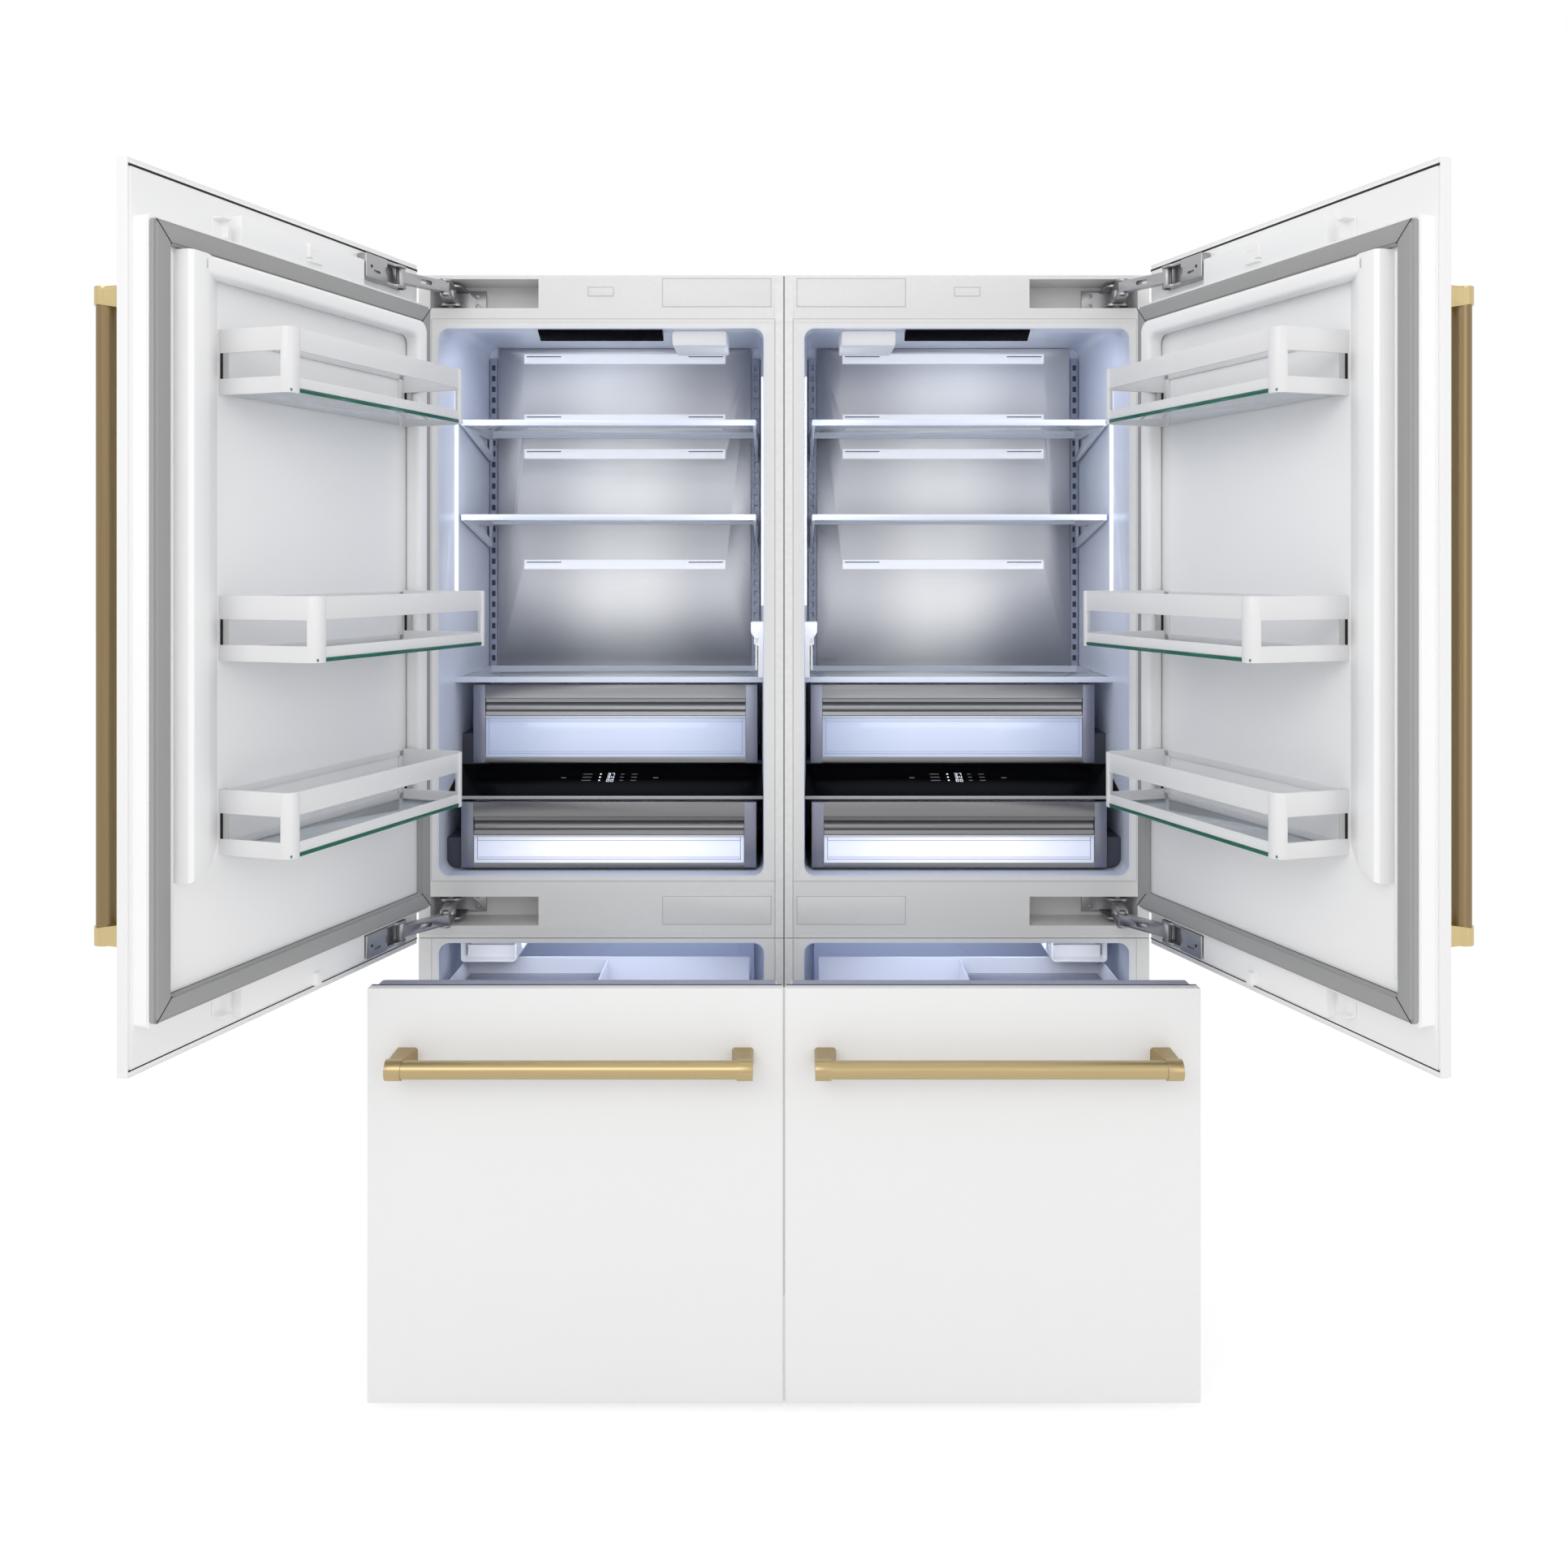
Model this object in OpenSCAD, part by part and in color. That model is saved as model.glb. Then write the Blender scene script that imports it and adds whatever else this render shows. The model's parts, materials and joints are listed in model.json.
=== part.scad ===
// French door refrigerator: two mirrored columns side by side. Each column has a fridge door on a concealed
// multi-link hinge and a freezer drawer below it. Millimetres, +Z up, +Y to the rear, floor at z = 0.
// A column is drawn as the left one: x runs from its outer side to the centre, y = 0 is the cabinet's face.

/* [Cabinet] */
// Width of one column
unit_w = 756; // [740:2:800]
// Height of the cabinet's top above the floor
unit_h = 2130; // [2100:2:2180]
// Depth of the cabinet behind its face
unit_d = 553; // [545:1:600]
// Height of the plinth space under the cabinet
base_z = 100; // [90:1:110]
// Thickness of the steel case
sheet_t = 1.2; // [0.8:0.1:2]
// Thickness of the insulated side walls
side_wall = 42; // [38:1:48]
// Height of the face band above the fridge opening
top_band = 110; // [106:1:120]
// Height of the gap's centre between door and drawer
split_z = 766; // [740:1:790]
// Height of the fridge floor above the split
fridge_floor_up = 122; // [116:1:130]
// Drop of the freezer ceiling below the split
freezer_ceiling_down = 18; // [16:1:24]
// Height of the freezer floor above the plinth
freezer_floor_up = 50; // [40:1:60]

/* [Liners] */
// Depth of the cavities
cavity_d = 480; // [474:1:500]
// Thickness of the moulded liners
liner_t = 3; // [2:0.5:4]
// Gap between the fridge liner and the foam round it
foam_gap = 0.2; // [0.1:0.1:0.5]
// Radius of the liner's corners
corner_r = 22; // [14:1:30]
// Narrowing of the cavity towards the back on the centre side
draft = 15; // [8:1:20]
// Rise of the fridge ceiling behind its header
ceiling_rise = 36; // [20:1:44]
// Depth of the header behind the face
header_d = 50; // [40:1:60]
// Height of the compressor bay at the rear bottom
bay_h = 270; // [240:1:290]
// Depth of the compressor bay
bay_d = 215; // [200:1:225]

/* [Door and drawer fronts] */
// Thickness of the front panels
panel_t = 20; // [16:1:22]
// Gap between neighbouring panels
panel_gap = 4; // [3:0.5:6]
// Height of the drawer panel's lower edge
panel_bottom = 14; // [8:1:50]
// Height of the door panel above the cabinet's top
panel_over = 4; // [0:1:6]
// Thickness of the steel pan behind the panel
pan_t = 1.5; // [1:0.1:2]
// Thickness of the insulated door body
body_t = 28; // [26:0.5:34]
// Thickness of the closed gasket
gasket_t = 12; // [10:0.5:13]
// Gap between the closed gasket and the face
seal_gap = 0.5; // [0.4:0.1:1]
// Distance of the door body from the column's sides
body_side = 12; // [10:1:14]
// Height of the pan left bare above the door body
head_bare = 84; // [82:1:90]
// Height of the pan left bare below the door body
foot_bare = 74; // [72:1:78]
// Width of the gasket
gasket_w = 34; // [28:1:36]
// Distance of the door's inner rim from the column's sides
rim_side = 56; // [56:1:66]
// Width of the inner rim at its root
rim_w = 32; // [30:1:40]
// Height of the inner rim above the door body
rim_h = 32; // [24:1:34]
// Taper of the inner rim's flanks
rim_taper = 8; // [4:1:10]
// Distance of the bins from the rim's outer flank on the free side
dam_w = 102; // [90:1:120]
// Length of the inner rim below the lowest bin
rim_foot = 24; // [16:1:60]

/* [Door bins] */
// Depth of the shallow bins
bin_reach = 137; // [110:1:139]
// Depth of the middle bin
deep_bin_reach = 186; // [160:1:188]
// Height of a bin's frame
bin_h = 104; // [90:1:112]
// Height of a bin's upper band
bin_band = 38; // [30:1:42]
// Height of a bin's lower band
bin_foot = 26; // [20:1:30]
// Thickness of a bin's bands
bin_t = 5; // [4:0.5:7]
// Thickness of the glass floors
bin_glass = 5; // [4:0.5:6]
// Heights of the bins above the split
bin_up = [304, 611, 1032]; // [280:1:1040]

/* [Handles] */
// Diameter of the handle bars
bar_d = 32; // [24:1:34]
// Length of a handle's end collar
collar_l = 28; // [24:1:36]
// Flare of a handle's foot towards the panel
foot_flare = 11; // [4:1:16]
// Length of a door handle
door_handle_l = 1003; // [700:1:1100]
// Height of the door handle's lower end above the split
door_handle_up = 184; // [120:1:240]
// Length of a drawer handle
drawer_handle_l = 646; // [400:2:680]
// Drop of the drawer handle's axis below the split
drawer_handle_down = 126; // [90:1:200]
// Distance of the bar's axis from the panel
handle_out = 62; // [45:1:66]
// Distance of the door handle's axis from the panel's free edge
handle_inset = 46; // [44:1:110]

/* [Door hinge] */
// Height of the hinge pockets in the face
pocket_h = 60; // [58:1:62]
// Depth of the hinge pockets
pocket_d = 88; // [86:1:92]
// Height of one hinge
hinge_h = 44; // [40:1:46]
// Pivot of the cabinet link
pivot_a = [60, 28]; // [0:1:100]
// Pivot of the door arm, with the door closed
pivot_b = [80, -27.5]; // [-60:0.5:120]
// Length of the cabinet link
link_l = 90; // [88:0.5:92]
// Length of the door arm
arm_l = 110; // [108:0.5:112]
// Radius of the hinge pins
pin_r = 5; // [4:0.25:5.5]
// Radius of the round ends of the cabinet links
link_r = 11; // [9:0.5:12]
// Radius of the round ends of the door arms
arm_r = 9; // [8.5:0.25:9.5]
// Running clearance of a pin in its bore
pin_fit = 0.08; // [0.03:0.01:0.1]
// Radial play of the joint between link and arm
link_play = 2.4; // [2:0.1:3]
// Thickness of the link and bracket plates
link_t = 5; // [4:0.5:5.5]

/* [Shelves] */
// Depth of the shelves' front edge behind the face
shelf_front = 168; // [160:1:180]
// Heights of the shelves as shares of the tracks' height
shelf_at = [0.445, 0.725]; // [0.35:0.005:0.8]
// Thickness of the shelf glass
glass_t = 6; // [4:0.5:8]
// Height of the crisper cover's glass above the split
cover_up = 514; // [510:1:520]
// Depth of the crisper cover's front edge behind the face
cover_front = 134; // [130:1:140]
// Thickness of the steel duct panel
duct_t = 2; // [1:0.5:3]
// Depth of the air duct behind its panel
duct_d = 9; // [7:1:11]
// Pitch of the shelf tracks' slots
slot_pitch = 26; // [24:1:26]

/* [Crispers] */
// Distance of the crispers from the column's outer side
crisper_x0 = 77; // [76:1:82]
// Height of the upper crisper
upper_h = 172; // [150:1:174]
// Height of the upper crisper's floor above the split
upper_up = 332; // [331:1:336]
// Depth of the upper crisper's front behind the face
upper_front = 155; // [150:1:160]
// Height of the lower crisper
lower_h = 138; // [120:1:140]
// Height of the lower crisper's floor above the fridge floor
lower_up = 6; // [4:1:8]
// Depth of the lower crisper's front behind the face
lower_front = 44; // [40:1:50]
// Thickness of a crisper's walls
crisper_t = 3; // [2:0.5:4]
// Thickness of a crisper's steel front
trim_t = 18; // [16:1:22]
// Depth of the upper crisper, with its front
upper_d = 300; // [260:1:305]
// Depth of the lower crisper, with its front
lower_d = 400; // [340:1:415]

/* [Freezer drawer] */
// Reach of the slides behind the drawer's front
basket_d = 430; // [400:1:440]
// Depth of the lower basket
low_basket_d = 262; // [240:1:268]
// Depth of the upper tray at the slides' rear end
tray_d = 236; // [200:1:240]
// Thickness of the basket's walls
basket_t = 3; // [2:0.5:4]
// Distance of the baskets from the column's sides
basket_side = 72; // [70:1:80]
// Height of the slides
slide_h = 42; // [36:1:44]
// Height of the slides' lower edge above the freezer floor
slide_up = 318; // [316:1:330]

/* [Rest pose] */
// Opening angle of the fridge doors
door_open = 108; // [0:0.5:115]
// Travel of the freezer drawers
drawer_open = 286; // [0:1:400]

/* [Hidden] */
$fn = 48;

// Depths of the layers in front of the face, door closed
door_front = -(seal_gap + gasket_t + body_t + pan_t + panel_t);
panel_back = door_front + panel_t;
pan_back = panel_back + pan_t;
body_face = pan_back + body_t;
// Heights that follow from the bands of the face
fridge_floor = split_z + fridge_floor_up;
fridge_ceiling = unit_h - top_band;
freezer_ceiling = split_z - freezer_ceiling_down;
freezer_floor = base_z + freezer_floor_up;
door_bottom = split_z + panel_gap / 2;
door_top = unit_h + panel_over;
drawer_top = split_z - panel_gap / 2;
body_bottom = door_bottom + foot_bare;
body_top = door_top - head_bare;
cover_z = split_z + cover_up;
upper_z = split_z + upper_up;
lower_z = fridge_floor + lower_up;
deck_z = upper_z - 8;
panel_y = [58, 200];
slide_gap = 0.5;
// Widths
cavity_x1 = unit_w - side_wall;
panel_x0 = panel_gap / 2;
panel_x1 = unit_w - panel_gap / 2;
back_x1 = cavity_x1 - draft;
crisper_x1 = back_x1 - 1;
// The door turns about this line just outside the panel's corner
axis_v = [panel_x0 - 3.5, door_front];
// Pockets for the hinges
pocket_x = [24, 248];
pocket_z = [split_z + 18, unit_h - 8 - pocket_h];
hinge_z = [for (z = pocket_z) z + (pocket_h - hinge_h) / 2];
// The model is centred between what stands furthest forward and the inlets at the back
inlet_out = 14;
function reach(x, y) = (x - axis_v[0]) * sin(door_open) - (y - axis_v[1]) * cos(door_open) - axis_v[1];
front_reach = max(
    reach(panel_x1, panel_back), reach(unit_w - body_side, body_face),
    reach(unit_w - body_side - 2, body_face + gasket_t - 4),
    drawer_open - door_front + handle_out + bar_d / 2 + 3
);
shift_y = (front_reach - unit_d - inlet_out) / 2;

// Flat geometry of the hinge: the link and the arm meet where two circles cross
function turned(p, a) = [p[0] * cos(a) - p[1] * sin(a), p[0] * sin(a) + p[1] * cos(a)];
function door_point(p, a) = axis_v + turned(p - axis_v, -a);
function crossing(a, b, ra, rb) =
    let (d = norm(b - a), along = (ra * ra - rb * rb + d * d) / (2 * d), u = (b - a) / d)
    a + u * along + [-u[1], u[0]] * sqrt(ra * ra - along * along);
function heading(a, b) = atan2(b[1] - a[1], b[0] - a[0]);
b_rest = door_point(pivot_b, door_open);
c_rest = crossing(pivot_a, b_rest, link_l, arm_l);

// A plain block between two corners
module block(x, y, z) translate([x[0], y[0], z[0]]) cube([x[1] - x[0], y[1] - y[0], z[1] - z[0]]);

// A rectangle with round corners
module round_rect(x, y, r) {
    translate([x[0] + r, y[0]]) square([x[1] - x[0] - 2 * r, y[1] - y[0]]);
    translate([x[0], y[0] + r]) square([x[1] - x[0], y[1] - y[0] - 2 * r]);
    for (cx = [x[0] + r, x[1] - r], cy = [y[0] + r, y[1] - r]) translate([cx, cy]) circle(r);
}

// An outline in x and z, extruded along y
module upright(y) translate([0, y[1], 0]) rotate([90, 0, 0]) linear_extrude(y[1] - y[0]) children();

// An outline in y and z, extruded along x
module across(x) translate([x[0], 0, 0]) rotate([90, 0, 90]) linear_extrude(x[1] - x[0]) children();

// An outline in x and y, extruded upwards
module rising(z) translate([0, 0, z[0]]) linear_extrude(z[1] - z[0]) children();

// A block with round corners seen from the front
module front_block(x, y, z, r) upright(y) round_rect(x, z, r);

// A front block whose sides lean inwards towards the rear
module leaning_block(x, y, z, r, lean) hull() {
    front_block(x, [y[0], y[0] + 0.1], z, r, $fn = 24);
    front_block([x[0] + lean, x[1] - lean], [y[1] - 0.1, y[1]], [z[0] + lean, z[1] - lean], r, $fn = 24);
}

// A bar with round ends between two points of the plan: its sides lie a hair inside the ends' radius,
// because a side that only touches a round end leaves a sliver there
strap_in = 0.03;
module strap(a, b, r, z) rising(z) {
    half = r - strap_in;
    translate(a) circle(r);
    translate(b) circle(r);
    translate(a) rotate(heading(a, b)) translate([0, -half]) square([norm(b - a), 2 * half]);
}

module post(p, r, z) translate([p[0], p[1], z[0]]) cylinder(r = r, h = z[1] - z[0]);

// Places a column's parts: side -1 is the left column, 1 the right one
module unit(side) translate([0, shift_y, 0]) mirror([side > 0 ? 1 : 0, 0, 0])
    translate([-unit_w, 0, 0]) children();
module both_units() for (side = [-1, 1]) unit(side) children();
// Turns what is drawn on a closed door to its rest angle
module on_door(side) unit(side) translate(axis_v) rotate(-door_open) translate(-axis_v) children();
// Moves what is drawn on a closed drawer to its rest place
module on_drawer(side) unit(side) translate([0, -drawer_open, 0]) children();

// ---- Cabinet ----

// Plan of a cavity, grown outwards by g, with its centre side leaning in
function lean_x(y) = cavity_x1 - draft * y / cavity_d;
module cavity_plan(g, front) polygon([
    [side_wall - g, front], [lean_x(front) + g, front],
    [lean_x(cavity_d + g) + g, cavity_d + g], [side_wall - g, cavity_d + g],
]);

// A piece that fits between the side walls of the fridge cavity
module between_walls(y, z) rising(z) intersection() {
    cavity_plan(0, 0);
    translate([0, y[0]]) square([unit_w, y[1] - y[0]]);
}

module fridge_cavity(g, front) intersection() {
    rising([fridge_floor - g, fridge_ceiling + ceiling_rise + g]) cavity_plan(g, front);
    union() {
        front_block([side_wall - g, cavity_x1 + g], [front, cavity_d + g],
            [fridge_floor - g, fridge_ceiling + g], corner_r + g);
        front_block([side_wall - g, cavity_x1 + g], [header_d - g, cavity_d + g],
            [fridge_floor - g, fridge_ceiling + ceiling_rise + g], corner_r + g);
    }
}

module freezer_cavity(g, front) {
    step = [unit_d - bay_d - 30, base_z + bay_h + 20];
    intersection() {
        front_block([side_wall - g, cavity_x1 + g], [front, cavity_d + g],
            [freezer_floor - g, freezer_ceiling + g], corner_r + g);
        across([0, unit_w]) polygon([
            [front, freezer_floor - g], [step[0] + g, freezer_floor - g], [step[0] + g, step[1] - g],
            [cavity_d + g, step[1] - g], [cavity_d + g, freezer_ceiling + g], [front, freezer_ceiling + g],
        ]);
    }
}

module pocket_space(g, front) for (z = pocket_z)
    block([pocket_x[0] - g, pocket_x[1] + g], [front, pocket_d + g], [z - g, z + pocket_h + g]);

module bay_space(g)
    block([20 - g, unit_w - 20 + g], [unit_d - bay_d - g, unit_d + 1], [base_z - 1, base_z + bay_h + g]);

// A thicker strip of the case's top takes the anti-tip screws
anti_tip_y = unit_d - 40;
anti_tip_x = 300;
module anti_tip_strip() block([unit_w / 2 - anti_tip_x - 30, unit_w / 2 + anti_tip_x + 30],
    [anti_tip_y - 20, anti_tip_y + 20], [unit_h - 4, unit_h]);

module outer_cases() color("whitesmoke") both_units() difference() {
    union() {
        difference() {
            block([0, unit_w], [0, unit_d], [base_z, unit_h]);
            block([sheet_t, unit_w - sheet_t], [sheet_t, unit_d - sheet_t],
                [base_z + sheet_t, unit_h - sheet_t]);
        }
        intersection() {
            pocket_space(sheet_t, 0);
            block([0, unit_w], [0, unit_d], [base_z, unit_h]);
        }
        anti_tip_strip();
    }
    fridge_cavity(liner_t, -1);
    freezer_cavity(liner_t, -1);
    pocket_space(0, -1);
    for (x = [-1, 1]) post([unit_w / 2 + x * anti_tip_x, anti_tip_y], 3.5, [unit_h - 10, unit_h + 1]);
    // The compressor bay is open below, and breathes through louvres at the back
    block([24, unit_w - 24], [unit_d - bay_d, unit_d - sheet_t], [base_z - 1, base_z + 2 * sheet_t]);
    translate([inlet[0], unit_d, inlet[1]]) rotate([90, 0, 0]) cylinder(r = 9.2, h = 20, center = true);
    for (i = [0:7], x = [60, unit_w / 2 + 20])
        block([x, x + unit_w / 2 - 80], [unit_d - 2 * sheet_t, unit_d + 1],
            [base_z + 40 + i * 22, base_z + 48 + i * 22]);
    // Joint lines of the face
    for (z = [fridge_ceiling + 12, fridge_floor - 12, split_z])
        block([sheet_t, unit_w], [-1, sheet_t / 2], [z - 0.7, z + 0.7]);
    block([unit_w - 20, unit_w - 18.6], [-1, sheet_t / 2], [base_z, unit_h]);
}

module insulation() color("khaki") both_units() difference() {
    block([sheet_t, unit_w - sheet_t], [sheet_t, unit_d - sheet_t], [base_z + sheet_t, unit_h - sheet_t]);
    fridge_cavity(liner_t + foam_gap, -1);
    freezer_cavity(liner_t, -1);
    pocket_space(sheet_t, -1);
    bay_space(0);
    anti_tip_strip();
    for (x = [-1, 1]) post([unit_w / 2 + x * anti_tip_x, anti_tip_y], 3.5, [unit_h - 10, unit_h + 1]);
}

module fridge_liners() color("aliceblue") both_units() difference() {
    fridge_cavity(liner_t, 0);
    fridge_cavity(0, -1);
}

module freezer_liners() color("aliceblue") both_units() difference() {
    freezer_cavity(liner_t, 0);
    freezer_cavity(0, -1);
}

cover_x = [504, unit_w - 26];
module hinge_covers() color("white") both_units() {
    for (z = pocket_z) front_block(cover_x, [-0.8, 0], [z + 2, z + pocket_h + 2], 6);
    front_block([350, 404], [-0.8, 0], [pocket_z[1] + 24, pocket_z[1] + 44], 3);
}

// ---- Inside the fridge ----

track_w = 16;
duct_x = [side_wall + track_w + 7, back_x1 - track_w - 7];
duct_z = [cover_z + 8, fridge_ceiling + ceiling_rise - 1];
vent_at = [0.31, 0.655, 0.763, 0.951];
room_h = fridge_ceiling + ceiling_rise - cover_z;
vent_up = [for (share = vent_at) share * room_h];
duct_y = cavity_d - duct_d;
vent_w = 488;
vent_h = 24;
vent_x = (duct_x[0] + duct_x[1] - vent_w) / 2;
module air_duct_panels() color("silver") both_units() {
    difference() {
        block(duct_x, [duct_y, cavity_d], duct_z);
        block([duct_x[0] + duct_t, duct_x[1] - duct_t], [duct_y + duct_t, cavity_d + 1],
            [duct_z[0] + duct_t, duct_z[1] - duct_t]);
        for (up = vent_up)
            block([vent_x, vent_x + vent_w], [duct_y - 1, cavity_d], [cover_z + up, cover_z + up + vent_h]);
    }
    freezer_duct();
}

module freezer_duct() {
    z = [base_z + bay_h + 40, freezer_ceiling - 30];
    difference() {
        block([side_wall + 30, cavity_x1 - 30], [cavity_d - 30, cavity_d], z);
        block([side_wall + 32, cavity_x1 - 32], [cavity_d - 28, cavity_d + 1], [z[0] + 2, z[1] - 2]);
        for (i = [0:3], x = [side_wall + 60, unit_w / 2 + 10])
            block([x, x + 250], [cavity_d - 31, cavity_d - 27], [z[1] - 70 + i * 14, z[1] - 64 + i * 14]);
    }
}

module air_vents() color("white") both_units() for (up = vent_up) {
    z = cover_z + up;
    difference() {
        block([vent_x, vent_x + vent_w], [duct_y - 2, duct_y + duct_t], [z, z + vent_h]);
        block([vent_x + 4, vent_x + vent_w - 4], [duct_y - 3, duct_y - 1], [z + 4, z + vent_h - 4]);
        for (x = [vent_x + 8, vent_x + vent_w - 90])
            block([x, x + 82], [duct_y - 3, duct_y + duct_t + 1], [z + 12, z + 19]);
    }
}

slot_first = 12;
slot_h = 13;
hook_drop = 18;
track_z = [duct_z[0], duct_z[1] - corner_r - 2];
shelf_slots = [for (share = shelf_at) round((share * (track_z[1] - track_z[0]) - hook_drop) / slot_pitch)];
shelf_z = [for (slot = shelf_slots) track_z[0] + slot_first + slot * slot_pitch + 2 + hook_drop];
shelf_x = [side_wall + 5, back_x1 - 5];
shelf_back = duct_y - 4;
module glass_shelves() color("lightcyan", 0.5) both_units() {
    for (z = shelf_z)
        block([shelf_x[0] + 6, shelf_x[1] - 6], [shelf_front + 8, shelf_back - 8], [z, z + glass_t]);
    block([side_wall + 8, back_x1 - 4], [cover_front + 6, shelf_back - 8], [cover_z, cover_z + glass_t]);
}

module shelf_frames() color("gainsboro") both_units() {
    for (z = shelf_z) shelf_frame(z);
    crisper_cover_frame();
    crisper_runners();
}

// Front and rear trims with two wedge-shaped side brackets that hook into the tracks
module shelf_frame(z) {
    block(shelf_x, [shelf_front, shelf_front + 8], [z - 3, z + glass_t + 4]);
    block(shelf_x, [shelf_back - 8, shelf_back], [z - 3, z + glass_t + 4]);
    for (x = [shelf_x[0], shelf_x[1] - 6]) across([x, x + 6]) difference() {
        polygon([
            [shelf_front, z + glass_t + 4], [shelf_back, z + glass_t + 4], [shelf_back, z - 58],
            [shelf_back - 26, z - 58], [shelf_front + 20, z - 6], [shelf_front, z - 3],
        ]);
        polygon([
            [shelf_back - 150, z - 8], [shelf_back - 20, z - 8], [shelf_back - 20, z - 40],
        ]);
    }
    for (x = [shelf_x[0] + 2, shelf_x[1] - 5], drop = [hook_drop, hook_drop + slot_pitch])
        block([x, x + 3], [shelf_back - 1, duct_y + 1], [z - drop, z - drop + 8]);
}

module crisper_cover_frame() {
    z = [cover_z - 4, cover_z + glass_t + 2];
    between_walls([cover_front, cover_front + 6], z);
    between_walls([shelf_back - 8, cavity_d], z);
    block([side_wall, side_wall + 8], [cover_front + 6, shelf_back - 8], z);
    difference() {
        between_walls([cover_front + 6, shelf_back - 8], z);
        block([side_wall, back_x1 - 4], [cover_front, shelf_back], [z[0] - 1, z[1] + 1]);
    }
}

// The deck between the crispers and the ledges that carry them
module crisper_runners() intersection() {
    fridge_cavity(0, 0);
    crisper_runner_blocks();
}

module crisper_runner_blocks() {
    between_walls([panel_y[1], cavity_d], [deck_z - 6, deck_z]);
    for (level = [[deck_z, upper_z, panel_y[1]], [fridge_floor, lower_z, lower_front + trim_t + 4]]) {
        ledge_y = [level[2], cavity_d - 20];
        ledge_z = [level[0], level[1] - slide_gap];
        block([side_wall, crisper_x0 + 24], ledge_y, ledge_z);
        difference() {
            between_walls(ledge_y, ledge_z);
            block([0, crisper_x1 - 24], [0, unit_d], [0, unit_h]);
        }
        block([side_wall, crisper_x0 - 2], ledge_y, [ledge_z[1], ledge_z[1] + 60]);
    }
}

module shelf_tracks() color("darkgray") both_units() for (x = [side_wall + 3, back_x1 - 3 - track_w])
    difference() {
        block([x, x + track_w], [duct_y - 2, cavity_d], track_z);
        block([x + 2, x + track_w - 2], [duct_y, cavity_d + 1], [track_z[0] - 1, track_z[1] + 1]);
        for (z = [track_z[0] + slot_first:slot_pitch:track_z[1] - slot_h - 4])
            block([x + 3.5, x + track_w - 3.5], [duct_y - 3, duct_y + 1], [z, z + slot_h]);
    }

// The sloping control panel closes the front between the two crispers
panel_z = lower_z + lower_h + 3;
module control_panels() color([0.06, 0.06, 0.07]) both_units() {
    intersection() {
        across([0, unit_w]) polygon([
            [panel_y[0], panel_z], [panel_y[0], panel_z + 8], [panel_y[1], deck_z], [panel_y[1], deck_z - 6],
            [panel_y[1] - 8, panel_z + 8], [panel_y[1] - 8, panel_z],
        ]);
        between_walls(panel_y, [panel_z, deck_z]);
    }
    // Bare strip that slopes down behind the header's edge
    across([244, 503]) polygon([
        [12, fridge_ceiling], [14, fridge_ceiling - 4], [46, fridge_ceiling - 19], [46, fridge_ceiling],
    ]);
}

strip_y = 148;
filter_x = [522, 636];
module light_strips() color("white") both_units() {
    z = [cover_z + 0.21 * room_h, cover_z + 0.85 * room_h];
    wall_x = lean_x(strip_y);
    block([side_wall, side_wall + 2], [strip_y - 7, strip_y + 7], z);
    block([wall_x - 2.5, wall_x - 0.5], [strip_y - 7, strip_y + 7], z);
    block([120, filter_x[0] - 20], [header_d + 20, header_d + 34],
        [fridge_ceiling + ceiling_rise - 3, fridge_ceiling + ceiling_rise]);
    block([200, 560], [60, 74], [freezer_ceiling - 3, freezer_ceiling]);
    block([110, 660], [panel_y[1] - 30, panel_y[1] - 16], [panel_z - 2, panel_z]);
}

module ceiling_housings() color("lavender") both_units() {
    z = fridge_ceiling;
    // Water filter housing under the header, then its bowl behind it
    across(filter_x) polygon([
        [22, z], [36, z - 30], [header_d + 120, z - 30], [header_d + 140, z + ceiling_rise],
        [header_d, z + ceiling_rise], [header_d, z],
    ]);
}

// A dispenser on the centre-side wall: a spout above, and a lever between two cheeks below it
tap_y = [96, 156];
tap_z = [cover_z + glass_t + 4, cover_z + 128];
tap_wall = lean_x(tap_y[1]);
lever_w = 16;
lever_y = (tap_y[0] + tap_y[1] - lever_w) / 2;
lever_pin = [tap_wall - 13, tap_z[0] + 76];
lever_pin_r = 2.5;
module along_y(y) translate([lever_pin[0], y[0], lever_pin[1]]) rotate([-90, 0, 0]) children();
module water_dispensers() color("white") both_units() difference() {
    union() {
        intersection() {
            between_walls(tap_y, tap_z);
            block([tap_wall - 8, unit_w], tap_y, tap_z);
        }
        upright(tap_y) polygon([
            [tap_wall, tap_z[1]], [tap_wall - 24, tap_z[1]], [tap_wall - 24, tap_z[1] - 22],
            [tap_wall - 16, tap_z[1] - 34], [tap_wall, tap_z[1] - 34],
        ]);
        for (y = [lever_y - 4.5, lever_y + lever_w + 0.5]) upright([y, y + 4]) polygon([
            [tap_wall - 8, lever_pin[1] - 10], [tap_wall - 18, lever_pin[1] - 6],
            [tap_wall - 18, lever_pin[1] + 6], [tap_wall - 8, lever_pin[1] + 8],
        ]);
    }
    // Slot that the lever swings into, and the bores for its pin
    block([tap_wall - 9, tap_wall - 1.5], [lever_y - 1, lever_y + lever_w + 1],
        [tap_z[0] + 6, lever_pin[1] - 12]);
    along_y([lever_y - 5, 0]) cylinder(r = lever_pin_r + pin_fit, h = lever_w + 10);
}

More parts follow.
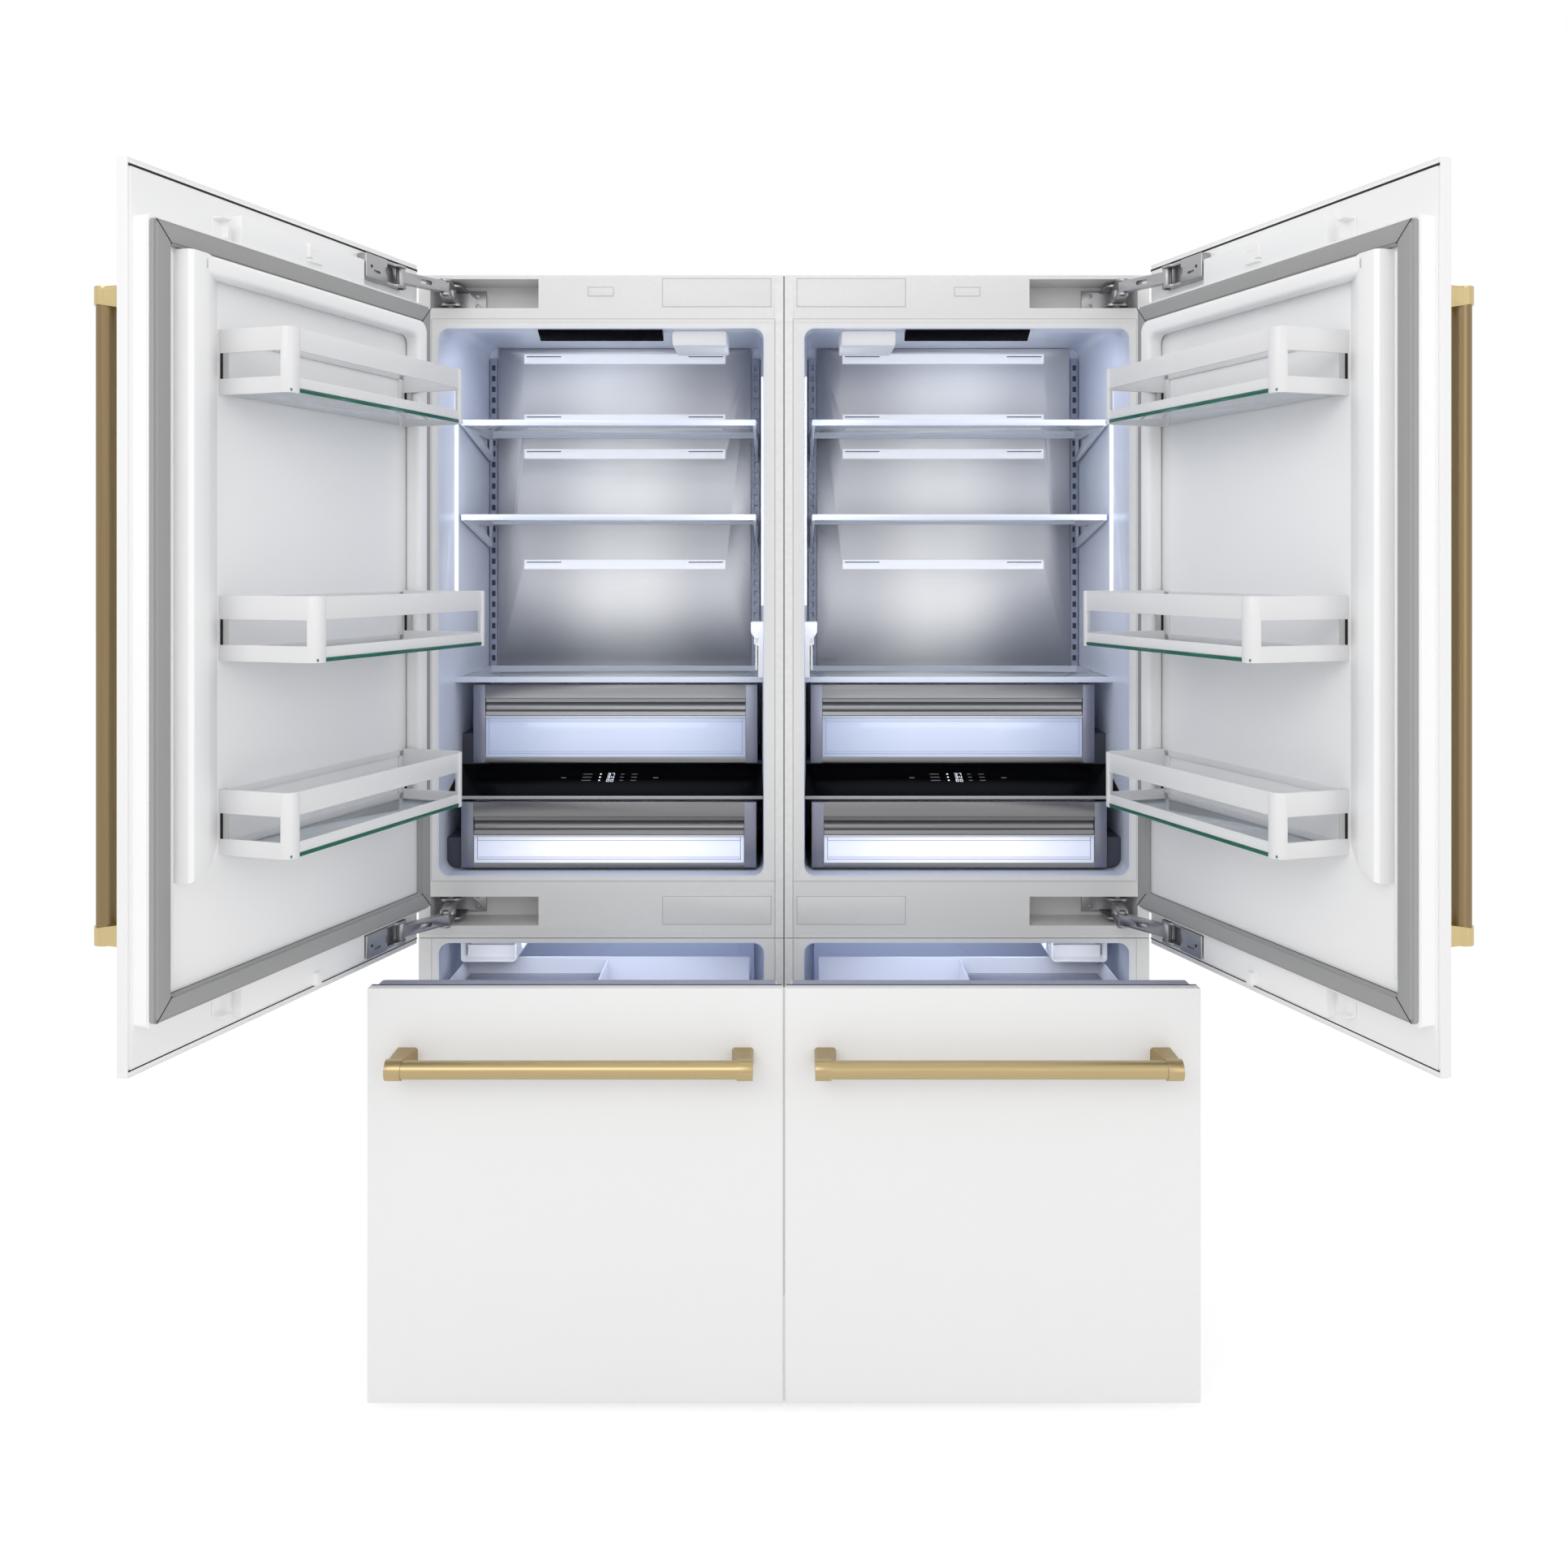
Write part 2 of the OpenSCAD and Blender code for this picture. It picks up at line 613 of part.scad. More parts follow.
// The lever hangs on its pin and swings back when a glass pushes it
module water_lever(side) color("white") unit(side) {
    block([lever_pin[0] - 2, lever_pin[0] + 2], [lever_y, lever_y + lever_w], [tap_z[0] + 14, lever_pin[1]]);
    along_y([lever_y, 0]) cylinder(r = 4, h = lever_w);
    along_y([lever_y - 4.5, 0]) cylinder(r = lever_pin_r, h = lever_w + 9);
}

// ---- Hinges ----

module hinge_brackets() color("lightsteelblue") both_units() for (z = hinge_z) translate([0, 0, z]) {
    a = pivot_a;
    // Mounting plate on the pocket's back with an ear above and below the link
    block([a[0] - 30, a[0] + 62], [pocket_d - 5, pocket_d], [0, hinge_h]);
    for (ear = [[0, link_t], [hinge_h - link_t, hinge_h]]) {
        block([a[0] - 24, a[0] + 24], [a[1], pocket_d - 5], ear);
        strap(a + [-10, 0], a + [10, 0], 14, ear);
    }
    post(a, pin_r, [0, hinge_h]);
    post(a, pin_r + 2.5, [-2, 0]);
    post(a, pin_r + 2.5, [hinge_h, hinge_h + 2]);
}

// The cabinet link: two plates joined by a sleeve on the cabinet pin and by the pin that carries the arm
link_z = [link_t + 0.6, hinge_h - link_t - 0.6];
arm_z = [link_z[0] + link_t + 0.6, link_z[1] - link_t - 0.6];
module hinge_links(side) color("silver") unit(side) for (z = hinge_z) translate([0, 0, z]) {
    difference() {
        union() {
            for (plate = [[link_z[0], link_z[0] + link_t], [link_z[1] - link_t, link_z[1]]])
                strap(pivot_a, c_rest, link_r, plate);
            post(pivot_a, link_r, link_z);
        }
        post(pivot_a, pin_r + pin_fit, [-1, hinge_h + 1]);
    }
    post(c_rest, pin_r - 1, link_z);
}

// The door arm: a box-section arm with an oval window, and a sleeve on the door pin
module hinge_arms(side) color("gainsboro") unit(side) for (z = hinge_z) translate([0, 0, z]) {
    difference() {
        union() {
            strap(b_rest, c_rest, arm_r, arm_z);
            post(b_rest, arm_r, link_z);
        }
        post(b_rest, pin_r + pin_fit, [-1, hinge_h + 1]);
        post(c_rest, pin_r - 1 + link_play, [-1, hinge_h + 1]);
        middle = (b_rest + c_rest) / 2;
        translate([middle[0], middle[1], (arm_z[0] + arm_z[1]) / 2]) rotate(heading(b_rest, c_rest))
            rotate([90, 0, 0]) translate([0, 0, -20]) linear_extrude(40) round_rect([-14, 14], [-4, 4], 3.9);
    }
}

module door_brackets(side) color("silver") on_door(side) {
    b = pivot_b;
    for (z = hinge_z) translate([0, 0, z]) {
        // Base plate on the pan, ears round the arm's sleeve, and the pin
        block([b[0] - 14, b[0] + 86], [pan_back, pan_back + 1.5], [0, hinge_h]);
        for (ear = [[0, link_t], [hinge_h - link_t, hinge_h]]) strap(b, b + [16, 0], 10, ear);
        block([b[0] + 14, b[0] + 80], [pan_back + 1.5, pan_back + 16], [0, link_t]);
        block([b[0] + 14, b[0] + 80], [pan_back + 1.5, pan_back + 16], [hinge_h - link_t, hinge_h]);
        post(b, pin_r, [0, hinge_h]);
    }
    // Clips that hold the front panel, above and below the body
    for (x = [330, 560]) {
        panel_clip(x, body_top + 0.3, 1);
        panel_clip(x, body_bottom - 0.3, -1);
    }
}

module panel_clip(x, z, up) translate([x, 0, z]) mirror([0, 0, up > 0 ? 0 : 1]) {
    block([0, 22], [pan_back, pan_back + 3], [0, 34]);
    block([0, 22], [pan_back, pan_back + 20], [34, 37]);
    block([0, 3], [pan_back, pan_back + 16], [6, 34]);
}

// ---- Doors ----

// A front panel with softly rounded upright edges
module front_panel(z) rising(z) round_rect([panel_x0, panel_x1], [door_front, panel_back], 2);

// A hollow body behind a panel: a sheet the size of the panel and four walls round the insulation
module front_shell(z, body_z) {
    block([panel_x0 + 5, panel_x1 - 5], [panel_back, pan_back], [z[0] + 5, z[1] - 5]);
    difference() {
        front_block([body_side, unit_w - body_side], [pan_back, body_face - liner_t], body_z, 6);
        front_block([body_side + 1.5, unit_w - body_side - 1.5], [pan_back - 1, body_face],
            [body_z[0] + 1.5, body_z[1] - 1.5], 5);
    }
}

// Magnetic gasket: a wide foot and a narrower lip that meets the face
module seal(z) {
    lip_y = body_face + gasket_t - 4;
    for (part = [[0, body_face, lip_y], [4, lip_y, body_face + gasket_t]]) difference() {
        inset = part[0];
        inner = gasket_w - part[0];
        front_block([body_side + 2 + inset, unit_w - body_side - 2 - inset], [part[1], part[2]],
            [z[0] + inset, z[1] - inset], 6);
        front_block([body_side + 2 + inner, unit_w - body_side - 2 - inner], [part[1] - 1, part[2] + 1],
            [z[0] + inner, z[1] - inner], 4);
    }
}

module door_panel(side) color("white") on_door(side) front_panel([door_bottom, door_top]);
module door_shell(side) color("whitesmoke") on_door(side)
    front_shell([door_bottom, door_top], [body_bottom, body_top]);
module door_gasket(side) color("darkgray") on_door(side) seal([body_bottom + 6, body_top - 6]);

// Thermoformed liner: a flat sheet with a hollow rim, open at its foot, that reaches into the cabinet
rim_x = [rim_side, unit_w - rim_side];
rim_z = [split_z + bin_up[0] - rim_foot, fridge_ceiling - 12];
module door_liner(side) color("ghostwhite") on_door(side) {
    difference() {
        union() {
            front_block([body_side, unit_w - body_side], [body_face - liner_t, body_face],
                [body_bottom, body_top], 6);
            leaning_block(rim_x, [body_face - 1, body_face + rim_h], rim_z, corner_r, rim_taper);
        }
        // The recess inside the rim
        leaning_block([rim_x[0] + rim_w, rim_x[1] - rim_w], [body_face, body_face + rim_h + 1],
            [rim_z[0] - 2 * rim_w, rim_z[1] - rim_w], corner_r - 4, -rim_taper / 2);
        rim_hollow();
    }
    // A dam along the free side, which slopes down to the bins
    dam_x = rim_x[1] - rim_w;
    rising([rim_z[0] + 6, rim_z[1] - rim_w + 2]) polygon([
        [dam_x + 2, body_face - 1], [dam_x + 6, body_face + rim_h - 1], [dam_x - 14, body_face + rim_h - 1],
        [bin_x[1] + 2, body_face], [bin_x[1] + 2, body_face - 1],
    ]);
}

// The hollow of the rim, seen only from inside the door
module rim_hollow() difference() {
    leaning_block([rim_x[0] + liner_t, rim_x[1] - liner_t],
        [body_face - liner_t - 1, body_face + rim_h - liner_t],
        [rim_z[0] + liner_t, rim_z[1] - liner_t], corner_r - liner_t, rim_taper);
    leaning_block([rim_x[0] + rim_w - liner_t, rim_x[1] - rim_w + liner_t],
        [body_face - liner_t - 2, body_face + rim_h], [rim_z[0] - 2 * rim_w, rim_z[1] - rim_w + liner_t],
        corner_r - 1, -rim_taper / 2);
}

// A handle along z: a bar between two collared ends, each on a foot that flares towards the panel
module handle(length) {
    half = bar_d / 2 + 2.5;
    foot_l = collar_l + foot_flare;
    cylinder(d = bar_d, h = length);
    for (end = [0, 1]) translate([0, 0, end * length]) mirror([0, 0, end]) {
        cylinder(r = half, h = collar_l);
        intersection() {
            across([-half, half]) polygon([[0, 0], [0, collar_l], [handle_out, foot_l], [handle_out, 0]]);
            front_block([1 - half, half - 1], [0, handle_out], [0, foot_l], 6);
        }
    }
}

module door_handle(side) color([0.8, 0.72, 0.5]) on_door(side)
    translate([panel_x1 - handle_inset, door_front - handle_out, split_z + door_handle_up])
        handle(door_handle_l);

// Bins: two end caps with open sides, joined by rails above and below, over a floor of glass
bin_x = [rim_x[0] + rim_w + 4, rim_x[1] - dam_w];
bin_r = 18;
cap_w = 22;
glass_z = [2, 2 + bin_glass];
module door_bins(side) color("white") on_door(side) for (i = [0:2])
    translate([0, body_face, split_z + bin_up[i]]) door_bin(i == 1 ? deep_bin_reach : bin_reach);

module door_bin(reach) {
    between_caps = [bin_x[0] + cap_w, bin_x[1] - cap_w];
    inside_x = [bin_x[0] + bin_t, bin_x[1] - bin_t];
    window_z = [bin_foot, bin_h - bin_band];
    difference() {
        rising([0, bin_h]) difference() {
            round_rect(bin_x, [0, reach], bin_r);
            round_rect(inside_x, [bin_t, reach - bin_t], bin_r - bin_t);
        }
        block(between_caps, [-1, reach + 1], window_z);
        block([bin_x[0] - 1, bin_x[1] + 1], [8, reach - cap_w], window_z);
        // The rails lie a little behind the caps, and the glass's edge shows under the lower one
        block(between_caps, [reach - 1.5, reach + 1], [-1, bin_h + 1]);
        block(between_caps, [-1, reach + 1], [-1, glass_z[1]]);
    }
    for (x = [inside_x[0], inside_x[1] - 4])
        block([x, x + 4], [bin_t - 1, reach - bin_r], [0, glass_z[0]]);
    block([inside_x[0] + 0.2, inside_x[1] - 0.2], [bin_t + 0.2, reach - bin_r], glass_z);
    block([between_caps[0] + 0.2, between_caps[1] - 0.2], [1, reach - 2], glass_z);
}

// ---- Freezer drawers ----

drawer_body_z = [base_z - 40, drawer_top];
module drawer_panel(side) color("white") on_drawer(side) front_panel([panel_bottom, drawer_top]);
module drawer_shell(side) color("lightgray") on_drawer(side) {
    front_shell([panel_bottom, drawer_top], drawer_body_z);
    front_block([body_side, unit_w - body_side], [body_face - liner_t, body_face], drawer_body_z, 6);
}
module drawer_gasket(side) color("darkgray") on_drawer(side)
    seal([base_z + 12, drawer_top - 2]);

module drawer_handle(side) color([0.8, 0.72, 0.5]) on_drawer(side)
    translate([(unit_w - drawer_handle_l) / 2, door_front - handle_out, split_z - drawer_handle_down])
        mirror([1, 0, -1]) handle(drawer_handle_l);

basket_x = [basket_side, unit_w - basket_side];
slide_z = [freezer_floor + slide_up, freezer_floor + slide_up + slide_h];
upper_tray_z = [slide_z[1] - 4, freezer_ceiling - 66];
divider_x = 356;
lower_basket_z = [freezer_floor + 12, slide_z[0] - 4];
module drawer_baskets(side) color("lavender", 0.6) on_drawer(side) {
    tray_y = [body_face + basket_d - tray_d, body_face + basket_d];
    low_y = [body_face + 8, body_face + low_basket_d];
    tray(basket_x, tray_y, upper_tray_z);
    tray(basket_x, low_y, lower_basket_z);
    // Dividers of the tray, for the ice, and of the lower basket
    block([divider_x + 16, divider_x + 19], [tray_y[0] + basket_t, tray_y[1] - basket_t],
        [upper_tray_z[0] + basket_t, upper_tray_z[1] - 8]);
    block([divider_x, divider_x + 4], [low_y[0] + basket_t, low_y[1] - basket_t],
        [lower_basket_z[0] + basket_t, lower_basket_z[1] + 60]);
}

module tray(x, y, z) difference() {
    block(x, y, z);
    block([x[0] + basket_t, x[1] - basket_t], [y[0] + basket_t, y[1] - basket_t],
        [z[0] + basket_t, z[1] + 1]);
}

// Slides: a channel on the liner's wall, and a bar on the drawer that runs in it and carries the baskets
module both_sides() {
    children();
    translate([unit_w, 0, 0]) mirror([1, 0, 0]) children();
}

module drawer_rails() color("silver") both_units() both_sides() difference() {
    block([side_wall, side_wall + 12], [30, cavity_d - 36], slide_z);
    block([side_wall + 3, side_wall + 13], [29, cavity_d - 35], [slide_z[0] + 6, slide_z[1] - 6]);
}

module drawer_slides(side) color("gray") on_drawer(side) both_sides() {
    bar = [body_side + gasket_w + 2.2, side_wall + 20];
    block(bar, [body_face, body_face + basket_d], [slide_z[0] + 7, slide_z[1] - 7]);
    // Flange under the upper tray, and hanger of the lower basket
    block([side_wall + 14, basket_x[0] + 14], [body_face, body_face + basket_d],
        [slide_z[1] - 7, slide_z[1] - 4]);
    block([bar[1], basket_x[0]], [body_face, body_face + low_basket_d],
        [slide_z[0] - 18, slide_z[1] - 7]);
}

// ---- Crispers ----

module crisper_bin(y, z, depth, height) difference() {
    block([crisper_x0 + 3, crisper_x1 - 3], [y + trim_t, y + depth], [z, z + height - 12]);
    block([crisper_x0 + 3 + crisper_t, crisper_x1 - 3 - crisper_t],
        [y + trim_t + crisper_t, y + depth - crisper_t], [z + crisper_t, z + height]);
}

// Steel front: a band, a hollowed finger pull under it, and a frame round the window
band_h = 31;
pull_h = 38;
post_w = 26;
module crisper_front(y, z, height, foot) difference() {
    block([crisper_x0, crisper_x1], [y, y + trim_t], [z, z + height]);
    across([crisper_x0 + post_w, crisper_x1 - post_w]) {
        translate([y, z + height - band_h - pull_h]) square([6, pull_h]);
        translate([y + 2, z + height - band_h - pull_h / 2]) circle(11);
        translate([y - 1, z + foot]) square([trim_t + 2, height - band_h - pull_h - foot - 4]);
    }
}

module upper_crisper(side) color("lavender", 0.5) unit(side)
    crisper_bin(upper_front, upper_z, upper_d, upper_h);
module upper_crisper_front(side) color("silver") unit(side)
    crisper_front(upper_front, upper_z, upper_h, 12);
module lower_crisper(side) color("lavender", 0.5) unit(side)
    crisper_bin(lower_front, lower_z, lower_d, lower_h);
module lower_crisper_front(side) color("silver") unit(side)
    crisper_front(lower_front, lower_z, lower_h, 9);

// ---- Freezer, base and cooling ----

module ice_makers() color("white") both_units() {
    x = [side_wall + 28, side_wall + 146];
    z = [freezer_ceiling - 60, freezer_ceiling];
    difference() {
        front_block(x, [70, 300], z, 8);
        front_block([x[0] + 3, x[1] - 3], [60, 297], [z[0] + 3, z[1] - 3], 6);
    }
    for (i = [0:5]) block([x[0] + 8, x[1] - 8], [100 + i * 30, 104 + i * 30], [z[0] + 3, z[0] + 28]);
}

module toe_kicks() color("dimgray") both_units() difference() {
    block([6, unit_w - 6], [52, 55], [12, base_z]);
    for (i = [0:4]) block([80, unit_w - 80], [51, 56], [28 + i * 12, 33 + i * 12]);
}

foot_r = 22;
module feet_and_rollers() color("dimgray") both_units() for (x = [60, unit_w - 60]) {
    post([x, 90], foot_r, [0, 10]);
    post([x, 90], 8, [10, base_z]);
    post([x, 90], 14, [base_z - 12, base_z]);
    // Roller between two cheeks at the rear
    translate([x - 12, unit_d - 60, 25]) rotate([0, 90, 0]) cylinder(r = 25, h = 24);
    for (dx = [-17, 13]) block([x + dx, x + dx + 4], [unit_d - 80, unit_d - 40], [14, base_z]);
    translate([x - 17, unit_d - 60, 25]) rotate([0, 90, 0]) cylinder(r = 6, h = 34);
}

bay_y = unit_d - bay_d;
inlet = [unit_w / 2 + 200, base_z + 240];
module cooling_units() color("dimgray") both_units() {
    // Tray across the bay, laid on the edges of the case's bottom
    block([20, unit_w - 20], [bay_y, unit_d - sheet_t], [base_z + sheet_t, base_z + 5]);
    block([24.3, unit_w - 24.3], [bay_y + 0.3, unit_d - sheet_t], [base_z, base_z + sheet_t]);
    compressor([170, unit_d - 108, base_z + 5]);
    condenser([330, 520], [bay_y + 30, unit_d - 60], [base_z + 5, base_z + 190]);
    condenser_fan([600, bay_y + 90, base_z + 100]);
    water_inlet();
    evaporator();
}

module compressor(p) translate(p) {
    for (x = [-60, 60], y = [-46, 46]) translate([x, y, 0]) cylinder(r = 12, h = 18);
    block([-75, 75], [-62, 62], [18, 22]);
    translate([0, 0, 22]) cylinder(r = 68, h = 96);
    translate([0, 0, 116]) sphere(r = 62);
}

module condenser(x, y, z) {
    for (i = [0:11]) {
        fin = x[0] + i * (x[1] - x[0] - 2) / 11;
        block([fin, fin + 2], y, z);
    }
    for (i = [0:4]) translate([x[0] - 6, (y[0] + y[1]) / 2, z[0] + 20 + i * 36]) rotate([0, 90, 0])
        cylinder(r = 5, h = x[1] - x[0] + 12);
}

module condenser_fan(p) translate(p) {
    rotate([90, 0, 0]) difference() {
        cylinder(r = 68, h = 20);
        translate([0, 0, -1]) cylinder(r = 62, h = 22);
    }
    rotate([90, 0, 0]) translate([0, 0, 2]) cylinder(r = 18, h = 16);
    for (a = [0:60:300]) rotate([0, a, 0]) block([10, 64], [-12, -9], [-7, 7]);
    block([-30, 30], [-20, 0], [-p[2] + base_z + 5, -64]);
}

// Inlet valve behind the case, for the ice maker's water
module water_inlet() translate([inlet[0], unit_d, inlet[1]]) rotate([-90, 0, 0]) {
    translate([0, 0, -30]) cylinder(r = 18, h = 30 - sheet_t);
    translate([0, 0, -sheet_t]) cylinder(r = 9, h = sheet_t);
    cylinder(r = 13.2, h = inlet_out);
}

// Finned coil behind the freezer's duct panel
module evaporator() {
    x = [side_wall + 70, cavity_x1 - 70];
    z = base_z + bay_h + 60;
    for (i = [0:9]) block(x, [cavity_d - 24, cavity_d], [z + i * 22, z + i * 22 + 3]);
    for (end = [x[0], x[1] - 4]) block([end, end + 4], [cavity_d - 20, cavity_d], [z, z + 9 * 22]);
}

// ---- What is drawn ----

outer_cases();
insulation();
fridge_liners();
freezer_liners();
hinge_covers();
air_duct_panels();
air_vents();
glass_shelves();
shelf_frames();
shelf_tracks();
control_panels();
light_strips();
ceiling_housings();
water_dispensers();
hinge_brackets();
ice_makers();
drawer_rails();
toe_kicks();
feet_and_rollers();
cooling_units();
door_panel(-1);  // left_door_panel
door_shell(-1);  // left_door_shell
door_liner(-1);  // left_door_liner
door_gasket(-1);  // left_door_gasket
door_handle(-1);  // left_door_handle
door_bins(-1);  // left_door_bins
door_brackets(-1);  // left_door_brackets
hinge_links(-1);  // left_hinge_links
hinge_arms(-1);  // left_hinge_arms
door_panel(1);  // right_door_panel
door_shell(1);  // right_door_shell
door_liner(1);  // right_door_liner
door_gasket(1);  // right_door_gasket
door_handle(1);  // right_door_handle
door_bins(1);  // right_door_bins
door_brackets(1);  // right_door_brackets
hinge_links(1);  // right_hinge_links
hinge_arms(1);  // right_hinge_arms
drawer_panel(-1);  // left_drawer_panel
drawer_shell(-1);  // left_drawer_shell
drawer_gasket(-1);  // left_drawer_gasket
drawer_handle(-1);  // left_drawer_handle
drawer_baskets(-1);  // left_drawer_baskets
drawer_slides(-1);  // left_drawer_slides
drawer_panel(1);  // right_drawer_panel
drawer_shell(1);  // right_drawer_shell
drawer_gasket(1);  // right_drawer_gasket
drawer_handle(1);  // right_drawer_handle
drawer_baskets(1);  // right_drawer_baskets
drawer_slides(1);  // right_drawer_slides
upper_crisper(-1);  // left_upper_crisper
upper_crisper_front(-1);  // left_upper_crisper_front
lower_crisper(-1);  // left_lower_crisper
lower_crisper_front(-1);  // left_lower_crisper_front
upper_crisper(1);  // right_upper_crisper
upper_crisper_front(1);  // right_upper_crisper_front
lower_crisper(1);  // right_lower_crisper
lower_crisper_front(1);  // right_lower_crisper_front
water_lever(-1);  // left_water_lever
water_lever(1);  // right_water_lever
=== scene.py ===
# French door refrigerator: two mirrored columns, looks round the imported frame. Metres.
import json
import math

import bpy
from mathutils import Matrix, Vector


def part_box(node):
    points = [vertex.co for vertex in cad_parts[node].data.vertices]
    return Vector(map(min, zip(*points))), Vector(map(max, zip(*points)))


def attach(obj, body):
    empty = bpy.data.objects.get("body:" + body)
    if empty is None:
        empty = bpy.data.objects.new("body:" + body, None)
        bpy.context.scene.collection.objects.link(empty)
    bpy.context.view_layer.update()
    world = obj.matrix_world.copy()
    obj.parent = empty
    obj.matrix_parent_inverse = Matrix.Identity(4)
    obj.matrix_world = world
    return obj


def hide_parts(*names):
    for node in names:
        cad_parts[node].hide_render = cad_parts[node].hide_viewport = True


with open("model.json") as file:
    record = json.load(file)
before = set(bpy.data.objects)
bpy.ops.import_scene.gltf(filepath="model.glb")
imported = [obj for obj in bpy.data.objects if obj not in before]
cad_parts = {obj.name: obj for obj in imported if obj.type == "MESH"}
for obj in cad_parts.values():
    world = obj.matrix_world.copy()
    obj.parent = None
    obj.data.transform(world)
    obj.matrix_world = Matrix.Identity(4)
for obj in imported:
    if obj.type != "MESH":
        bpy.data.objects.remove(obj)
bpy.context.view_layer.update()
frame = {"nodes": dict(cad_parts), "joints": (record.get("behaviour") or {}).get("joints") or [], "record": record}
nodes = frame["nodes"]
print("frame loaded,", len(nodes), "nodes")


# Selecting, adding and finishing pieces

def deselectAll():
    if bpy.context.object and bpy.context.object.mode != "OBJECT":
        setMode("OBJECT")
    bpy.ops.object.select_all(action="DESELECT")


def activate(piece):
    deselectAll()
    piece.select_set(True)
    bpy.context.view_layer.objects.active = piece


def setMode(mode):
    bpy.ops.object.mode_set(mode=mode)


def settle(piece):  # the object goes to the origin, its place into its mesh
    activate(piece)
    bpy.ops.object.transform_apply(location=True, rotation=True, scale=True)


def applyModifiers(piece):
    activate(piece)
    for modifier in list(piece.modifiers):
        bpy.ops.object.modifier_apply(modifier=modifier.name)


def joinInto(parts, name):
    deselectAll()
    for part in parts:
        part.select_set(True)
    bpy.context.view_layer.objects.active = parts[0]
    if len(parts) > 1:
        bpy.ops.object.join()
    piece = bpy.context.view_layer.objects.active
    piece.name = name
    settle(piece)
    return piece


def smoothShade(piece, angle=35):
    activate(piece)
    bpy.ops.object.shade_smooth_by_angle(angle=math.radians(angle))


def addBox(low, high, edge=0.0, segments=2):  # a block with softened edges
    deselectAll()
    size = [high[i] - low[i] for i in range(3)]
    bpy.ops.mesh.primitive_cube_add(size=1, location=[(low[i] + high[i]) / 2 for i in range(3)])
    piece = bpy.context.object
    piece.scale = size
    settle(piece)
    if edge > 0:
        setMode("EDIT")
        bpy.ops.mesh.select_all(action="SELECT")
        bpy.ops.mesh.bevel(offset=min(edge, min(size) * 0.48), segments=segments, affect="EDGES")
        setMode("OBJECT")
    return piece


def addBlock(x, y, z, edge=0.0, segments=2):  # the same from a pair of millimetres for each axis
    low, high = zip(x, y, z)
    return addBox([v / 1000 for v in low], [v / 1000 for v in high], edge / 1000, segments)


def addRod(start, end, radius, edge=0.0, sides=32):  # a round bar between two points
    deselectAll()
    start, end = Vector(start), Vector(end)
    along = end - start
    place = (start + end) / 2
    bpy.ops.mesh.primitive_cylinder_add(vertices=sides, radius=radius, depth=along.length, location=place)
    piece = bpy.context.object
    piece.rotation_mode = "QUATERNION"
    piece.rotation_quaternion = along.to_track_quat("Z", "Y")
    settle(piece)
    if edge > 0:
        direction = along.normalized()
        selectFaces(piece, lambda face: abs(face.normal.dot(direction)) > 0.9)
        bpy.ops.mesh.bevel(offset=edge, segments=2, affect="EDGES")
        setMode("OBJECT")
    return piece


def addOutline(points, low, high, axis="Z"):  # a flat outline, extruded along Z or Y
    deselectAll()
    bpy.ops.mesh.primitive_circle_add(vertices=len(points), radius=1, fill_type="NGON")
    piece = bpy.context.object
    for vertex, (u, v) in zip(piece.data.vertices, points):
        vertex.co = (u, v, low) if axis == "Z" else (u, low, v)
    setMode("EDIT")
    bpy.ops.mesh.select_all(action="SELECT")
    step = (0, 0, high - low) if axis == "Z" else (0, high - low, 0)
    bpy.ops.mesh.extrude_region_move(TRANSFORM_OT_translate={"value": step})
    bpy.ops.mesh.select_all(action="SELECT")
    bpy.ops.mesh.normals_make_consistent(inside=False)
    setMode("OBJECT")
    return piece


def selectFaces(piece, wanted):
    activate(piece)
    setMode("EDIT")
    bpy.ops.mesh.select_mode(type="FACE")
    bpy.ops.mesh.select_all(action="DESELECT")
    setMode("OBJECT")
    for face in piece.data.polygons:
        face.select = bool(wanted(face))
    setMode("EDIT")


def bevelEdges(piece, width, segments=2, angle=30):
    bevel = piece.modifiers.new("softEdges", "BEVEL")
    bevel.width = width
    bevel.segments = segments
    bevel.limit_method = "ANGLE"
    bevel.angle_limit = math.radians(angle)
    bevel.harden_normals = False
    applyModifiers(piece)


def ownCopy(piece, name):
    copy = piece.copy()
    copy.data = piece.data.copy()
    bpy.context.scene.collection.objects.link(copy)
    copy.name = name
    return copy


def mirrored(piece, name, x=0):  # a copy mirrored about the plane at x; 0 stands between the columns
    copy = ownCopy(piece, name)
    copy.data.transform(Matrix.Translation((2 * x, 0, 0)) @ Matrix.Scale(-1, 4, (1, 0, 0)))
    copy.data.flip_normals()
    return copy


def mergedNode(node):  # a copy of a CAD node's mesh with its loose triangles joined
    deselectAll()
    piece = bpy.data.objects.new(node + "Copy", nodes[node].data.copy())
    bpy.context.scene.collection.objects.link(piece)
    activate(piece)
    setMode("EDIT")
    bpy.ops.mesh.select_all(action="SELECT")
    bpy.ops.mesh.remove_doubles(threshold=0.00002)
    bpy.ops.mesh.dissolve_limited(angle_limit=math.radians(0.5))
    setMode("OBJECT")
    return piece


def softened(node, width, segments):  # a CAD shape with softly rounded edges
    piece = mergedNode(node)
    bevelEdges(piece, width, segments)
    return piece


def finishPiece(piece, name, body, slotName, material, replaced=()):
    piece.name = name
    piece.data.name = name
    piece.data.materials.clear()
    piece.data.materials.append(material)
    smoothShade(piece)
    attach(piece, body)
    if replaced:
        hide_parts(*replaced)
    return piece


# Shared shader groups

